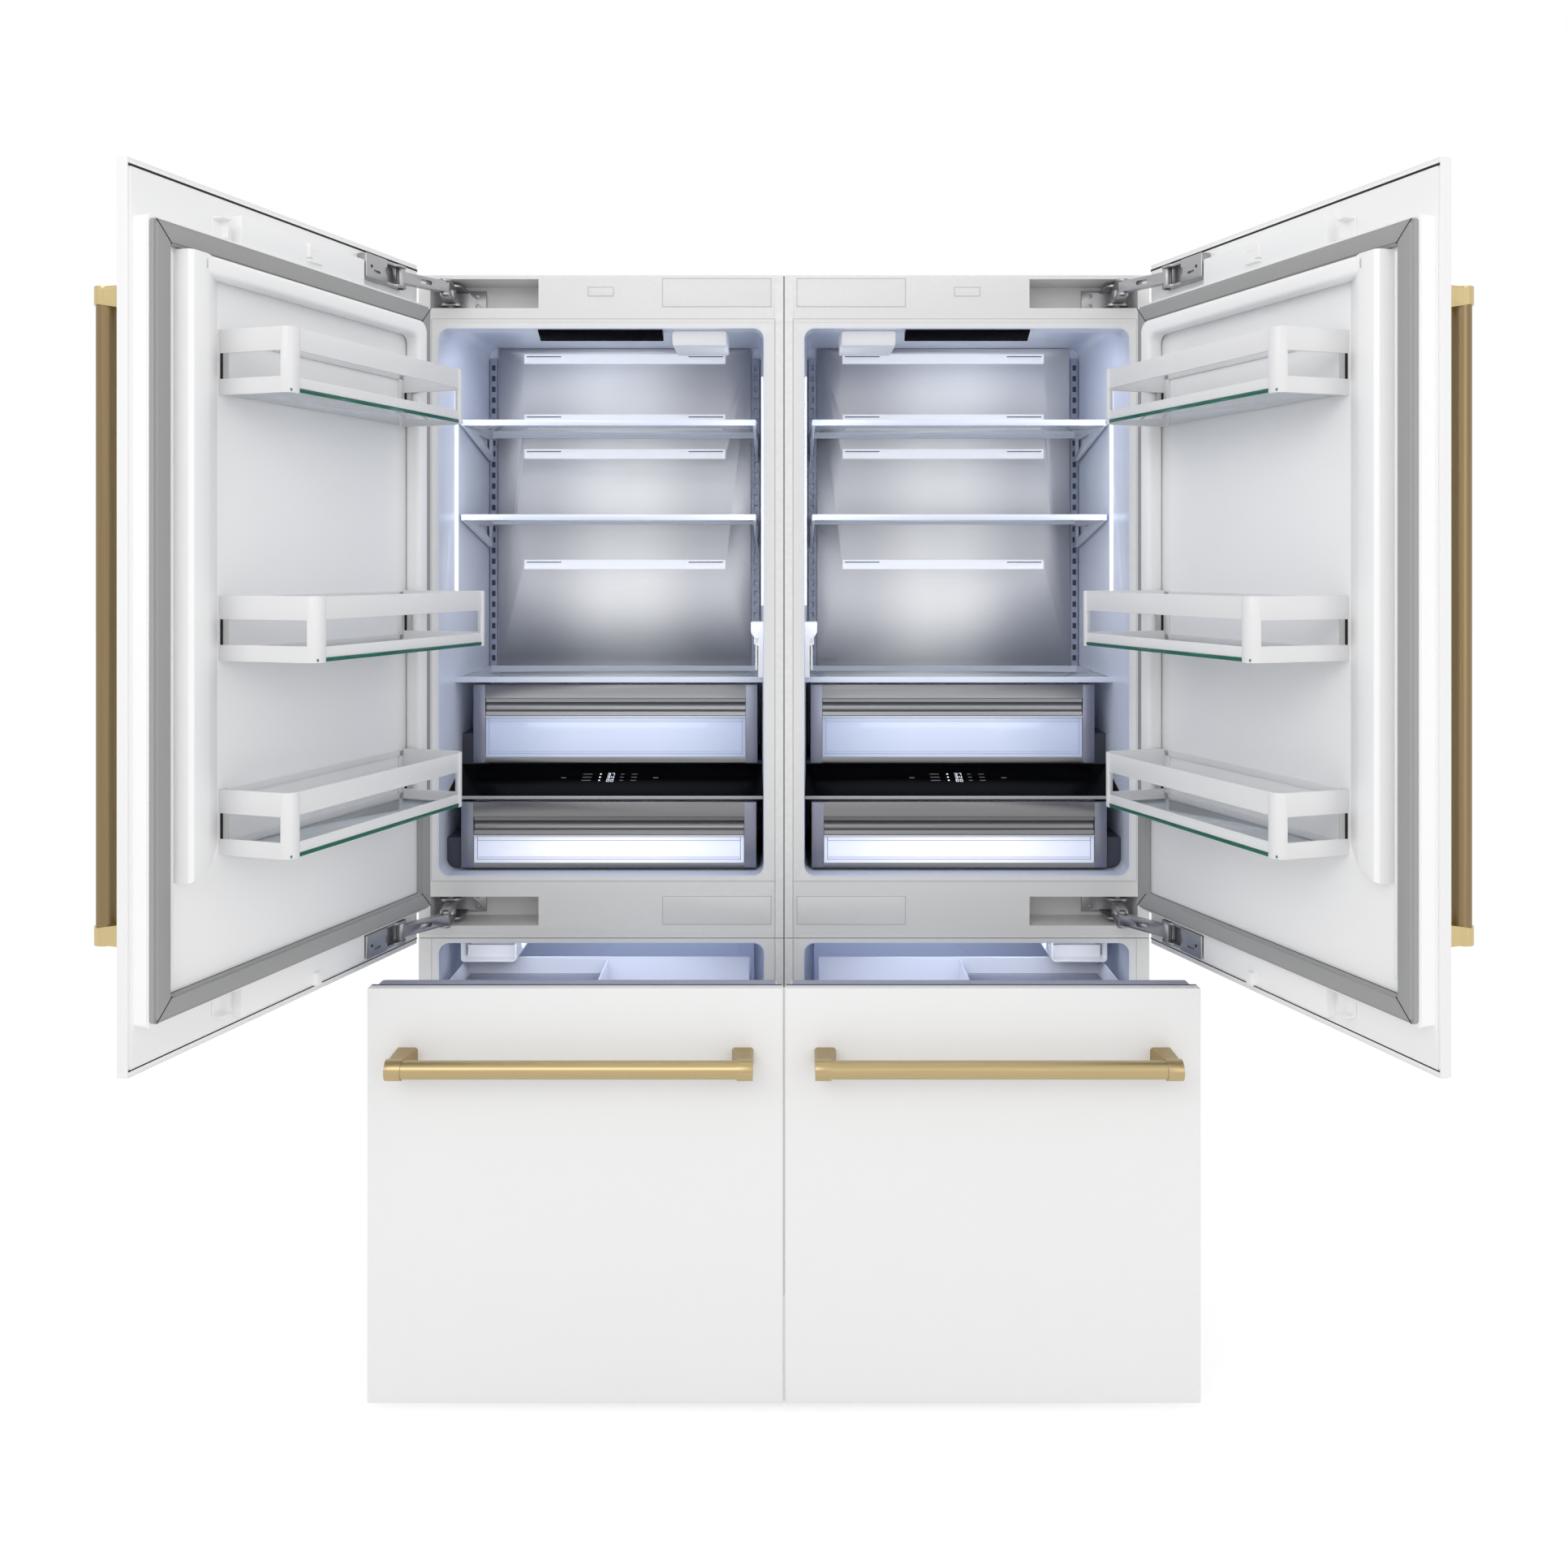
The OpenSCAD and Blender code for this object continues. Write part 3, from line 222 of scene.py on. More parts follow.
def newGroup(name, inputs, outputs):
    group = bpy.data.node_groups.new(name, "ShaderNodeTree")
    for label, start in inputs.items():
        kind = "NodeSocketVector" if isinstance(start, tuple) else "NodeSocketFloat"
        socket = group.interface.new_socket(name=label, in_out="INPUT", socket_type=kind)
        socket.default_value = start
    for label in outputs:
        group.interface.new_socket(name=label, in_out="OUTPUT", socket_type="NodeSocketFloat")
    return group, group.nodes.new("NodeGroupInput"), group.nodes.new("NodeGroupOutput")


def addNode(tree, kind, links=None, **settings):
    node = tree.nodes.new(kind)
    for key, value in settings.items():
        setattr(node, key, value)
    for socket, source in (links or {}).items():
        target = node.inputs[socket]
        if hasattr(source, "is_linked"):
            tree.links.new(source, target)
        else:
            target.default_value = source
    return node


def mathNode(tree, operation, *values):
    return addNode(tree, "ShaderNodeMath", dict(enumerate(values)), operation=operation).outputs[0]


def noiseNode(tree, where, scale, detail, **more):
    values = {"Vector": where, "Scale": scale, "Detail": detail, **more}
    return addNode(tree, "ShaderNodeTexNoise", values).outputs[0]


def objectPlace(tree):
    return addNode(tree, "ShaderNodeTexCoord").outputs["Object"]


def spread(tree, value, low, high):  # takes a 0 to 1 mask to a range
    return addNode(tree, "ShaderNodeMapRange", {"Value": value, "To Min": low, "To Max": high}).outputs[0]


def maskBetween(tree, value, start, end, **settings):  # 0 at the first value and 1 at the second
    limits = {"Value": value, "From Min": start, "From Max": end}
    return addNode(tree, "ShaderNodeMapRange", limits, **settings).outputs[0]


def buildPeelGroup():  # sprayed or moulded surface: fine dimples and a slow change of tone
    scales = {"Dimple Scale": 900.0, "Tone Scale": 3.0}
    group, start, end = newGroup("surfacePeel", scales, ["Dimples", "Tone"])
    where = objectPlace(group)
    for label, scale, detail in (("Dimples", "Dimple Scale", 2.0), ("Tone", "Tone Scale", 3.0)):
        group.links.new(noiseNode(group, where, start.outputs[scale], detail), end.inputs[label])
    return group


def buildBrushGroup():  # brushed metal: long streaks, short along the two fine axes
    group, start, end = newGroup("brushedGrain", {"Stretch": (4.0, 400.0, 900.0)}, ["Streak", "Band"])
    stretch = {0: objectPlace(group), 1: start.outputs["Stretch"]}
    fine = addNode(group, "ShaderNodeVectorMath", stretch, operation="MULTIPLY").outputs[0]
    wide = {0: fine, 1: (0.12, 0.12, 0.12)}
    slow = addNode(group, "ShaderNodeVectorMath", wide, operation="MULTIPLY").outputs[0]
    group.links.new(noiseNode(group, fine, 1.0, 4.0, Roughness=0.65), end.inputs["Streak"])
    group.links.new(noiseNode(group, slow, 1.0, 2.0), end.inputs["Band"])
    return group


def buildOuterEdgeGroup():  # outward edges: a broken mask where the surface turns outwards, where a lighter tint is laid
    group, start, end = newGroup("outerEdgeMask", {"Scale": 60.0}, ["Mask"])
    point = addNode(group, "ShaderNodeNewGeometry").outputs["Pointiness"]
    broken = noiseNode(group, objectPlace(group), start.outputs["Scale"], 4.0)
    mask = mathNode(group, "MULTIPLY", maskBetween(group, point, 0.5, 0.62), broken)
    group.links.new(mask, end.inputs["Mask"])
    return group


peelGroup = buildPeelGroup()
brushGroup = buildBrushGroup()
outerEdgeGroup = buildOuterEdgeGroup()


# Materials

def linear(hexColour):  # "#rrggbb" to linear light
    values = [int(hexColour[i:i + 2], 16) / 255 for i in (1, 3, 5)]
    return tuple(v / 12.92 if v <= 0.04045 else ((v + 0.055) / 1.055) ** 2.4 for v in values) + (1.0,)


def newMaterial(name, **constants):
    material = bpy.data.materials.new(name)
    material.use_nodes = True
    shader = material.node_tree.nodes["Principled BSDF"]
    for socket, value in constants.items():
        shader.inputs[socket.replace("_", " ")].default_value = value
    return material, material.node_tree, shader


def groupWith(tree, group, values):
    node = tree.nodes.new("ShaderNodeGroup")
    node.node_tree = group
    for label, value in values.items():
        node.inputs[label.replace("_", " ")].default_value = value
    return node


def feed(shader, source, *sockets):
    for socket in sockets:
        shader.id_data.links.new(source, shader.inputs[socket])


def blendColour(tree, mask, first, second):  # 6, 7 and 2 are the Mix node's colour sockets
    return addNode(tree, "ShaderNodeMix", {0: mask, 6: first, 7: second}, data_type="RGBA").outputs[2]


def addBump(tree, shader, height, distance):
    bump = addNode(tree, "ShaderNodeBump", {"Height": height, "Distance": distance, "Strength": 1.0})
    feed(shader, bump.outputs[0], "Normal")


def paintedMaterial(name, light, dark, rough, dimple=900.0, depth=0.00002, coat=0.0, edgeTint=None, **constants):
    material, tree, shader = newMaterial(name, **constants)
    peel = groupWith(tree, peelGroup, {"Dimple_Scale": dimple, "Tone_Scale": 2.5})
    tone = peel.outputs["Tone"]
    colour = blendColour(tree, spread(tree, tone, 0.35, 0.65), linear(dark), linear(light))
    # outward edges take the lighter edge tint along a broken mask
    if edgeTint:
        edgeMaskNode = groupWith(tree, outerEdgeGroup, {"Scale": 80.0})
        colour = blendColour(tree, edgeMaskNode.outputs["Mask"], colour, linear(edgeTint))
    feed(shader, colour, "Base Color")
    feed(shader, spread(tree, tone, rough - 0.05, rough + 0.05), "Roughness")
    shader.inputs["Coat Weight"].default_value = coat
    addBump(tree, shader, peel.outputs["Dimples"], depth)
    return material


def brushedMaterial(name, light, dark, rough, stretch, depth=0.00001, **constants):
    material, tree, shader = newMaterial(name, Metallic=1.0, **constants)
    brush = groupWith(tree, brushGroup, {"Stretch": stretch})
    streak = brush.outputs["Streak"]
    streaked = blendColour(tree, streak, linear(dark), linear(light))
    colour = blendColour(tree, spread(tree, brush.outputs["Band"], 0.0, 0.35), streaked, linear(light))
    feed(shader, colour, "Base Color")
    feed(shader, spread(tree, streak, rough - 0.08, rough + 0.1), "Roughness")
    addBump(tree, shader, streak, depth)
    return material


def distanceFrom(tree, middle):  # how far across from a column's middle, in either column
    across = addNode(tree, "ShaderNodeSeparateXYZ", {0: objectPlace(tree)}).outputs["X"]
    offset = mathNode(tree, "SUBTRACT", mathNode(tree, "ABSOLUTE", across), middle)
    return mathNode(tree, "ABSOLUTE", offset)


def paintSteelEdgeReflection(material):  # painted reflection: the flat sheet is coloured darker near its edges, as if it mirrored the dark side walls
    tree = material.node_tree
    shader = tree.nodes["Principled BSDF"]
    inner = shader.inputs["Base Color"].links[0].from_socket
    mask = maskBetween(tree, distanceFrom(tree, 0.385), 0.03, 0.2, interpolation_type="SMOOTHSTEP")
    feed(shader, blendColour(tree, mask, inner, linear("#b9b9bc")), "Base Color")


def clearMaterial(name, tint, edge, rough, reach, clear):  # glass or clear plastic with deeper narrow edges
    material, tree, shader = newMaterial(name, Roughness=rough, IOR=1.5, Transmission_Weight=clear)
    normal = addNode(tree, "ShaderNodeNewGeometry").outputs["Normal"]
    upward = addNode(tree, "ShaderNodeSeparateXYZ", {0: normal}).outputs["Z"]
    ramp = {"Value": mathNode(tree, "ABSOLUTE", upward), "From Max": reach, "To Min": 1.0, "To Max": 0.0}
    side = addNode(tree, "ShaderNodeMapRange", ramp).outputs[0]
    peel = groupWith(tree, peelGroup, {"Dimple_Scale": 40.0, "Tone_Scale": 6.0})
    body = blendColour(tree, spread(tree, peel.outputs["Tone"], 0.0, 0.2), linear(tint), (1, 1, 1, 1))
    feed(shader, blendColour(tree, side, body, linear(edge)), "Base Color")
    return material


panelWhite = paintedMaterial("panelMatteWhite", "#f2f2f2", "#eeeeee", 0.55, dimple=1400.0, depth=0.00001)
caseWhite = paintedMaterial("caseSatinWhite", "#e3e3e2", "#dcdcdc", 0.42, edgeTint="#f0f0f0")
linerWhite = paintedMaterial("linerMouldedWhite", "#dfe4f2", "#d3daec", 0.32, dimple=500.0, coat=0.15)
doorWhite = paintedMaterial("doorLinerWhite", "#fbfbfb", "#f5f5f5", 0.42, dimple=700.0, depth=0.00001)
shellWhite = paintedMaterial("doorShellWhite", "#fafafa", "#f4f4f4", 0.4)
plasticWhite = paintedMaterial("mouldedWhite", "#f3f3f5", "#ebebef", 0.35, dimple=700.0, coat=0.1)
binWhite = paintedMaterial("binMouldedWhite", "#e9e9ea", "#e1e1e2", 0.38, dimple=700.0, coat=0.1)
trackGrey = paintedMaterial("slottedTrackGrey", "#9ba1b4", "#868da2", 0.4, edgeTint="#b8bccb")
ductBlue = paintedMaterial("freezerDuctBlueGrey", "#c3cbe0", "#b4bdd5", 0.4)
# painted shade: dark grey for the shelf frames' runners low in the crisper gaps
runnerShade = paintedMaterial("runnerPaintedShade", "#4c505d", "#3d414c", 0.55)
# painted shade: dark strips behind the shelf tracks' slots
slotShade = paintedMaterial("trackSlotPaintedShade", "#3a3f4e", "#2b2f3b", 0.6)
ventSlotGrey = paintedMaterial("ventSlotGrey", "#6c7488", "#596075", 0.5)
# painted shade: grey for the upward faces of the white freezer drawer shell
shellTopShade = paintedMaterial("drawerTopShade", "#a9abbd", "#9c9eb2", 0.5)
postGrey = brushedMaterial("crisperPostGrey", "#8d90a0", "#747783", 0.4, (500.0, 500.0, 6.0))
paneLine = paintedMaterial("paneLineBlue", "#b3bedb", "#a3afd0", 0.3)
greenEdge = paintedMaterial("greenGlassEdge", "#0f6b55", "#0a5544", 0.12, dimple=300.0, depth=0.000004)
grooveGrey = paintedMaterial("coverGrooveGrey", "#c2c2c2", "#b8b8b8", 0.6)
jointGrey = paintedMaterial("cabinetJointGrey", "#7d7d7d", "#717171", 0.6)
lipGrey = paintedMaterial("panelLipGrey", "#b2b2b5", "#a4a4a8", 0.35)
darkMetal = paintedMaterial("bayDarkMetal", "#34363a", "#232427", 0.55, edgeTint="#55575c")
sealGrey = paintedMaterial("gasketGrey", "#a6a6a6", "#999999", 0.62, dimple=1600.0, depth=0.00003)
blackGlass = paintedMaterial("panelBlackGlass", "#040405", "#020203", 0.24, dimple=60.0, depth=0.000001,
                             Specular_IOR_Level=0.04)
foamCream = paintedMaterial("foamCream", "#e9dfb6", "#d8cb98", 0.9, dimple=300.0, depth=0.0006)
frostWhite = paintedMaterial("freezerTrayWhite", "#eef1fb", "#e2e7f6", 0.35, dimple=400.0)
crisperFrost = paintedMaterial("crisperFrostedPlastic", "#dfe5f2", "#d2d9ea", 0.3, dimple=300.0, coat=0.2)
backSteel = brushedMaterial("ductBrushedSteel", "#dcdcdc", "#c8c8c8", 0.46, (3.0, 300.0, 1400.0))
paintSteelEdgeReflection(backSteel)
frontSteel = brushedMaterial("crisperBrushedSteel", "#8e8e90", "#6c6c6e", 0.34, (2.5, 500.0, 1600.0))
railSteel = brushedMaterial("railSteel", "#b4b9c6", "#9298a8", 0.35, (300.0, 4.0, 900.0))
hingeNickel = brushedMaterial("hingeNickel", "#b4b4b6", "#a4a4a6", 0.36, (30.0, 30.0, 2400.0),
                              depth=0.000001)
doorBronze = brushedMaterial("bronzeCollarUpright", "#dbc898", "#bca878", 0.3, (900.0, 900.0, 6.0))
# painted shade: the door handle's bar is coloured darker than its collars
doorBarShadedBronze = brushedMaterial("bronzeBarUprightShaded", "#9a8665", "#786648", 0.3, (900.0, 900.0, 6.0))
drawerBronze = brushedMaterial("bronzeBarLevel", "#c8b489", "#aa956b", 0.3, (6.0, 900.0, 900.0))
# painted shade: the drawer handle's feet are coloured darker than its bar
drawerFootShadedBronze = brushedMaterial("bronzeFootShaded", "#bba577", "#9a8459", 0.34, (700.0, 6.0, 700.0))
shelfGlass = clearMaterial("shelfGlass", "#e9f0f6", "#cfeee8", 0.02, 0.3, 0.66)
binGlass = clearMaterial("binGlassGreenEdge", "#e2e9f1", "#0f6b55", 0.02, 0.3, 0.5)
clearPlastic = clearMaterial("clearMouldedPlastic", "#eef1fc", "#d9dff5", 0.08, 0.2, 0.8)
# black rubber for the seal's mitre lines, also painted shade for the dark strips in narrow gaps
blackRubberAndGapShade = paintedMaterial("blackRubberAndGapShade", "#0c0c0d", "#060607", 0.7, dimple=700.0)
# painted light: the vent plastic glows a little, as if lit from inside
ventGlowWhite = paintedMaterial("ventMouldedWhiteGlow", "#f4f6fb", "#eaedf6", 0.4, dimple=700.0,
                            Emission_Strength=0.3)
shelfTrim = paintedMaterial("shelfTrimPale", "#d4d8e3", "#c6ccdc", 0.25, coat=0.3)


def glowingPaneMaterial(name, middle, rim, glow):  # painted light: a slightly frosted pane that glows though it is no lamp, painted brighter towards its middle
    material, tree, shader = newMaterial(name, Roughness=0.12, IOR=1.45, Emission_Strength=glow)
    mask = maskBetween(tree, distanceFrom(tree, 0.375), 0.1, 0.29)
    tint = blendColour(tree, mask, linear(middle), linear(rim))
    peel = groupWith(tree, peelGroup, {"Dimple_Scale": 30.0, "Tone_Scale": 9.0})
    feed(shader, tint, "Base Color", "Emission Color")
    addBump(tree, shader, peel.outputs["Tone"], 0.0004)
    return material


def glowMaterial(name, colour, strength):  # light strips and display marks
    material, tree, shader = newMaterial(name, Roughness=0.4, Emission_Strength=strength)
    peel = groupWith(tree, peelGroup, {"Dimple_Scale": 200.0, "Tone_Scale": 20.0})
    tint = blendColour(tree, spread(tree, peel.outputs["Tone"], 0.0, 0.15), linear(colour), (1, 1, 1, 1))
    feed(shader, tint, "Base Color", "Emission Color")
    return material


# painted light: the lower pane glows brighter than the upper one
glowingPaneMaterials = {
    "Upper": glowingPaneMaterial("upperPaneGlow", "#bac2d6", "#abb5cd", 0.32),
    "Lower": glowingPaneMaterial("lowerPaneGlow", "#f6f8ff", "#d7def2", 0.38),
}
stripGlow = glowMaterial("stripGlow", "#f4f7ff", 2.2)
displayGlow = glowMaterial("displayGlow", "#e6ecf5", 0.85)
displayDim = glowMaterial("displayDim", "#8b919c", 0.1)
print("materials made")

nodeFinish = {
    "outer_cases": ("painted_case", caseWhite), "insulation": ("foam", foamCream),
    "fridge_liners": ("liner", linerWhite), "freezer_liners": ("liner", linerWhite),
    "hinge_covers": ("white_plastic", caseWhite), "air_duct_panels": ("duct_steel", backSteel),
    "air_vents": ("white_plastic", plasticWhite), "glass_shelves": ("clear_glass", shelfGlass),
    "shelf_frames": ("shelf_trim", shelfTrim), "shelf_tracks": ("track_steel", trackGrey),
    "control_panels": ("black_glass", blackGlass), "light_strips": ("lamp", stripGlow),
    "ceiling_housings": ("clear_plastic", plasticWhite), "water_dispensers": ("white_plastic", plasticWhite),
    "hinge_brackets": ("hinge_steel", hingeNickel), "ice_makers": ("white_plastic", plasticWhite),
    "drawer_rails": ("rail_steel", railSteel), "toe_kicks": ("dark_metal", darkMetal),
    "feet_and_rollers": ("dark_metal", darkMetal), "cooling_units": ("dark_metal", darkMetal),
}
sideFinish = {
    "door_panel": ("front_panel", panelWhite), "door_shell": ("painted_case", shellWhite),
    "door_liner": ("door_liner", doorWhite), "door_gasket": ("gasket", sealGrey),
    "door_handle": ("bronze", doorBronze), "door_bins": ("bin_white", binWhite),
    "door_brackets": ("hinge_steel", hingeNickel), "hinge_links": ("hinge_steel", hingeNickel),
    "hinge_arms": ("hinge_steel", hingeNickel), "drawer_panel": ("front_panel", panelWhite),
    "drawer_shell": ("freezer_shell", caseWhite), "drawer_gasket": ("gasket", sealGrey),
    "drawer_handle": ("bronze", drawerBronze), "drawer_baskets": ("clear_plastic", frostWhite),
    "drawer_slides": ("rail_steel", railSteel), "upper_crisper": ("clear_plastic", crisperFrost),
    "upper_crisper_front": ("crisper_steel", frontSteel), "lower_crisper": ("clear_plastic", crisperFrost),
    "lower_crisper_front": ("crisper_steel", frontSteel), "water_lever": ("white_plastic", plasticWhite),
}
for side in ("left", "right"):
    for kind, finish in sideFinish.items():
        nodeFinish[side + "_" + kind] = finish
for name, (slotName, material) in nodeFinish.items():
    nodes[name].data.materials.clear()
    nodes[name].data.materials.append(material)


# Places that the pieces are measured from

caseLow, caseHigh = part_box("outer_cases")
centreX = (caseLow.x + caseHigh.x) / 2
origin = Vector((caseLow.x, caseLow.y, 0))  # pieces are drawn in the left column, from its side and its face
joints = {joint["name"]: joint for joint in frame["joints"]}
doorPivot = Vector(joints["left_door_hinge"]["pos_m"]) - origin
doorAngle = -math.radians(joints["left_door_hinge"]["range_deg"][0])
doorTurn = Matrix.Rotation(-doorAngle, 4, "Z")
doorTurn = Matrix.Translation(doorPivot) @ doorTurn @ Matrix.Translation(-doorPivot)
drawerShift = Matrix.Translation((0, joints["left_freezer_slide"]["range_m"][0], 0))
print("door drawn closed, opened by", round(math.degrees(doorAngle), 1), "degrees")


def toColumn(onDoor):  # takes a point to the column's measure, with the door closed if it is on the door
    back = doorTurn.inverted() if onDoor else Matrix()
    return lambda point: back @ (point - origin)


def columnCorners(vertices, onDoor=False):
    place = toColumn(onDoor)
    points = [place(vertex.co) for vertex in vertices]
    return tuple(Vector([pick(point[i] for point in points) for i in range(3)]) for pick in (min, max))


def finishPair(piece, kind, body, slotName, material, replaced=(), pose=None):
    if isinstance(piece, list):  # the left piece may come in parts, and the right one is its mirror
        piece = joinInto(piece, kind)
    if pose:
        piece.data.transform(pose)
    piece.data.transform(Matrix.Translation(origin))
    other = mirrored(piece, "right" + kind)
    for side, one in (("left", piece), ("right", other)):
        hidden = [node.replace("SIDE", side) for node in replaced]
        finishPiece(one, side + kind, body.replace("SIDE", side), slotName, material, hidden)


def finishOnDoor(piece, kind, slotName, material, replaced=()):  # a pair drawn with the doors closed
    finishPair(piece, kind, "SIDE_door", slotName, material, replaced, doorTurn)


# CAD shapes with softened edges

softWidths = {  # node: bevel width, segments
    "hinge_covers": (0.0004, 2), "air_duct_panels": (0.0006, 2), "shelf_frames": (0.0009, 2),
    "control_panels": (0.0012, 3), "ceiling_housings": (0.004, 3), "water_dispensers": (0.0018, 3),
    "hinge_brackets": (0.0008, 2), "ice_makers": (0.002, 3), "drawer_rails": (0.0008, 2),
    "glass_shelves": (0.0008, 2), "toe_kicks": (0.0006, 2),
}
sideSoftWidths = {
    "door_panel": (0.0014, 3), "drawer_panel": (0.0014, 3), "door_shell": (0.0006, 2),
    "drawer_shell": (0.001, 2), "door_gasket": (0.0018, 3), "drawer_gasket": (0.0018, 3),
    "door_handle": (0.0026, 4), "drawer_handle": (0.0026, 4), "door_brackets": (0.0008, 2),
    "hinge_links": (0.0008, 2), "hinge_arms": (0.0012, 2), "drawer_baskets": (0.0012, 2),
    "drawer_slides": (0.0008, 2), "upper_crisper": (0.0012, 2), "upper_crisper_front": (0.001, 2),
    "lower_crisper": (0.0012, 2), "lower_crisper_front": (0.001, 2), "water_lever": (0.0009, 2),
}
for side in ("left", "right"):
    for kind, width in sideSoftWidths.items():
        softWidths[side + "_" + kind] = width
bodies = frame["record"]["behaviour"]["bodies"]
bodyOf = {node: body for body, members in bodies.items() for node in members}


def camelName(node):
    first, *rest = node.split("_")
    return first + "".join(word.capitalize() for word in rest)


secondFinish = {  # kind: material, and where it goes by the face's middle and normal in the left column
    "door_brackets": (shellWhite, lambda middle, normal: middle.x > 0.25),
    # painted shade on the door handle's bar
    "door_handle": (doorBarShadedBronze, lambda middle, normal: 0.985 < middle.z < 1.918 and middle.y < -0.1),
    # painted shade on the drawer handle's feet
    "drawer_handle": (drawerFootShadedBronze, lambda middle, normal: middle.y > -0.396),
    # painted shade on the drawer shell's upward faces
    "drawer_shell": (shellTopShade, lambda middle, normal: normal.z > 0.9 and middle.z > 0.75),
    "air_duct_panels": (ductBlue, lambda middle, normal: middle.z < 0.8),
    # painted shade on the shelf frames' lower runners
    "shelf_frames": (runnerShade, lambda middle, normal: middle.z < 1.165),
    "control_panels": (lipGrey, lambda middle, normal: normal.y < -0.95 and middle.z < 1.05),
}


def paintSecond(piece, node):
    side, rest = node.split("_", 1)
    kind = rest if side in ("left", "right") else node
    if kind not in secondFinish:
        return
    material, wanted = secondFinish[kind]
    piece.data.materials.append(material)
    place = toColumn(kind.startswith("door"))
    for face in piece.data.polygons:
        middle = face.center.copy()
        if side == "right":
            middle.x = -middle.x
        if wanted(place(middle), face.normal):
            face.material_index = 1


for node, (width, segments) in softWidths.items():
    piece = softened(node, width, segments)
    finishPiece(piece, camelName(node), bodyOf[node], *nodeFinish[node], [node])
    paintSecond(piece, node)
print(len(softWidths), "shapes softened")


# Door bins

bins = {"band": 0.038, "foot": 0.026, "wall": 0.005, "corner": 0.018, "wrap": 0.022, "post": 0.02,
        "recess": 0.0013, "edge": 0.0012, "rail": 0.004, "step": 0.001, "soft": 0.0008, "sheet": 0.003,
        "back": 0.014, "backFoot": 0.02, "backTop": 0.014, "lap": 0.002, "inset": 0.004, "ledge": 0.004,
        "ledgeTop": 0.012, "past": 0.01}
binFloor = {"thick": 0.005, "lift": 0.002, "gap": 0.0003, "back": 0.001, "short": 0.0018, "soft": 0.0006,
            "ledgeGap": 0.0022}
binEdge = {"short": 0.003, "deep": 0.0012, "shy": 0.0006, "foot": 0.0016, "top": 0.0026, "soft": 0.0005}
binHook = {"inset": 0.0004, "thick": 0.002, "slot": (0.003, 0.0085), "post": (0.0085, 0.018),
           "over": 0.0005, "soft": 0.0003}


def arcPoints(centre, radius, start, end, steps=8):
    turns = [math.radians(start + (end - start) * i / steps) for i in range(steps + 1)]
    return [(centre[0] + radius * math.cos(turn), centre[1] + radius * math.sin(turn)) for turn in turns]


def cutWith(piece, cutter):
    cut = piece.modifiers.new("cut", "BOOLEAN")
    cut.object = cutter
    cut.operation = "DIFFERENCE"
    cut.solver = "EXACT"
    applyModifiers(piece)
    bpy.data.objects.remove(cutter)
    return piece


def buildBinCap(low, high):  # the end at low.x: a rounded corner with a window in its side
    r, w, wrap, sheet = (bins[key] for key in ("corner", "wall", "wrap", "sheet"))
    x, y0, y1 = low.x, low.y, high.y
    outline = [(x, y0)] + arcPoints((x + r, y1 - r), r, 180, 90) + [(x + wrap, y1), (x + wrap, y1 - w)]
    outline += arcPoints((x + r, y1 - r), r - w, 90, 180) + [(x + w, y0)]
    cap = addOutline(outline, low.z, high.z)
    windowLow = (x - bins["past"], y0 + sheet, low.z + bins["foot"])
    windowHigh = (x + w + bins["lap"], y1 - bins["post"], high.z - bins["band"])
    cutWith(cap, addBox(windowLow, windowHigh))
    bevelEdges(cap, bins["edge"])
    back = addBox((x + w, y0, low.z), (x + w + bins["back"], y0 + sheet, high.z), bins["soft"])
    return [cap, back]


def solidBoxes(node, onDoor=False):  # the corners of a node's separate solids, lowest first
    activate(mergedNode(node))
    setMode("EDIT")
    bpy.ops.mesh.separate(type="LOOSE")
    setMode("OBJECT")
    found = []
    for part in list(bpy.context.selected_objects):
        found.append(columnCorners(part.data.vertices, onDoor))
        bpy.data.objects.remove(part)
    return sorted(found, key=lambda one: one[0].z)


def buildBin(low, high):  # the white frame, its glass floor and the glass's green front edge
    wall, rail, soft, step, sheet = (bins[key] for key in ("wall", "rail", "soft", "step", "sheet"))
    lap, inset, ledge, thick = bins["lap"], bins["inset"], bins["ledge"], binFloor["thick"]
    parts = buildBinCap(low, high)
    parts += [mirrored(part, "farEnd", (low.x + high.x) / 2) for part in parts]
    x0, x1, front = low.x + bins["wrap"] - lap, high.x - bins["wrap"] + lap, high.y - bins["recess"]
    left, right, seat = low.x + inset, high.x - inset, low.z + thick + sheet
    bars = [((x0, front - rail, high.z - bins["band"] + step), (x1, front, high.z - soft), step),
            ((x0, front - rail, seat), (x1, front, low.z + bins["foot"] - step), step),
            ((left, low.y, seat), (right, low.y + sheet, low.z + bins["backFoot"]), soft),
            ((left, low.y, high.z - bins["backTop"]), (right, low.y + sheet, high.z - lap), soft)]
    ledgeFoot, ledgeTop = low.z + thick + binFloor["ledgeGap"], low.z + bins["ledgeTop"]
    for x in (low.x + wall, high.x - wall - ledge):  # ledges at the ends of the glass
        bars.append(((x, low.y, ledgeFoot), (x + ledge, high.y - bins["corner"], ledgeTop), soft))
    binFrame = joinInto(parts + [addBox(*bar) for bar in bars], "bin")
    short, edgeTop = binEdge["short"], low.z + thick + binEdge["top"]
    edge = addBox((x0 + short, front - binEdge["deep"], low.z + binEdge["foot"]),
                  (x1 - short, high.y - binEdge["shy"], edgeTop), binEdge["soft"])
    foot, side = low.z + binFloor["lift"], wall + binFloor["gap"]
    glass = addBox((low.x + side, low.y + binFloor["back"], foot),
                   (high.x - side, front - binFloor["short"], foot + thick), binFloor["soft"])
    return binFrame, glass, edge


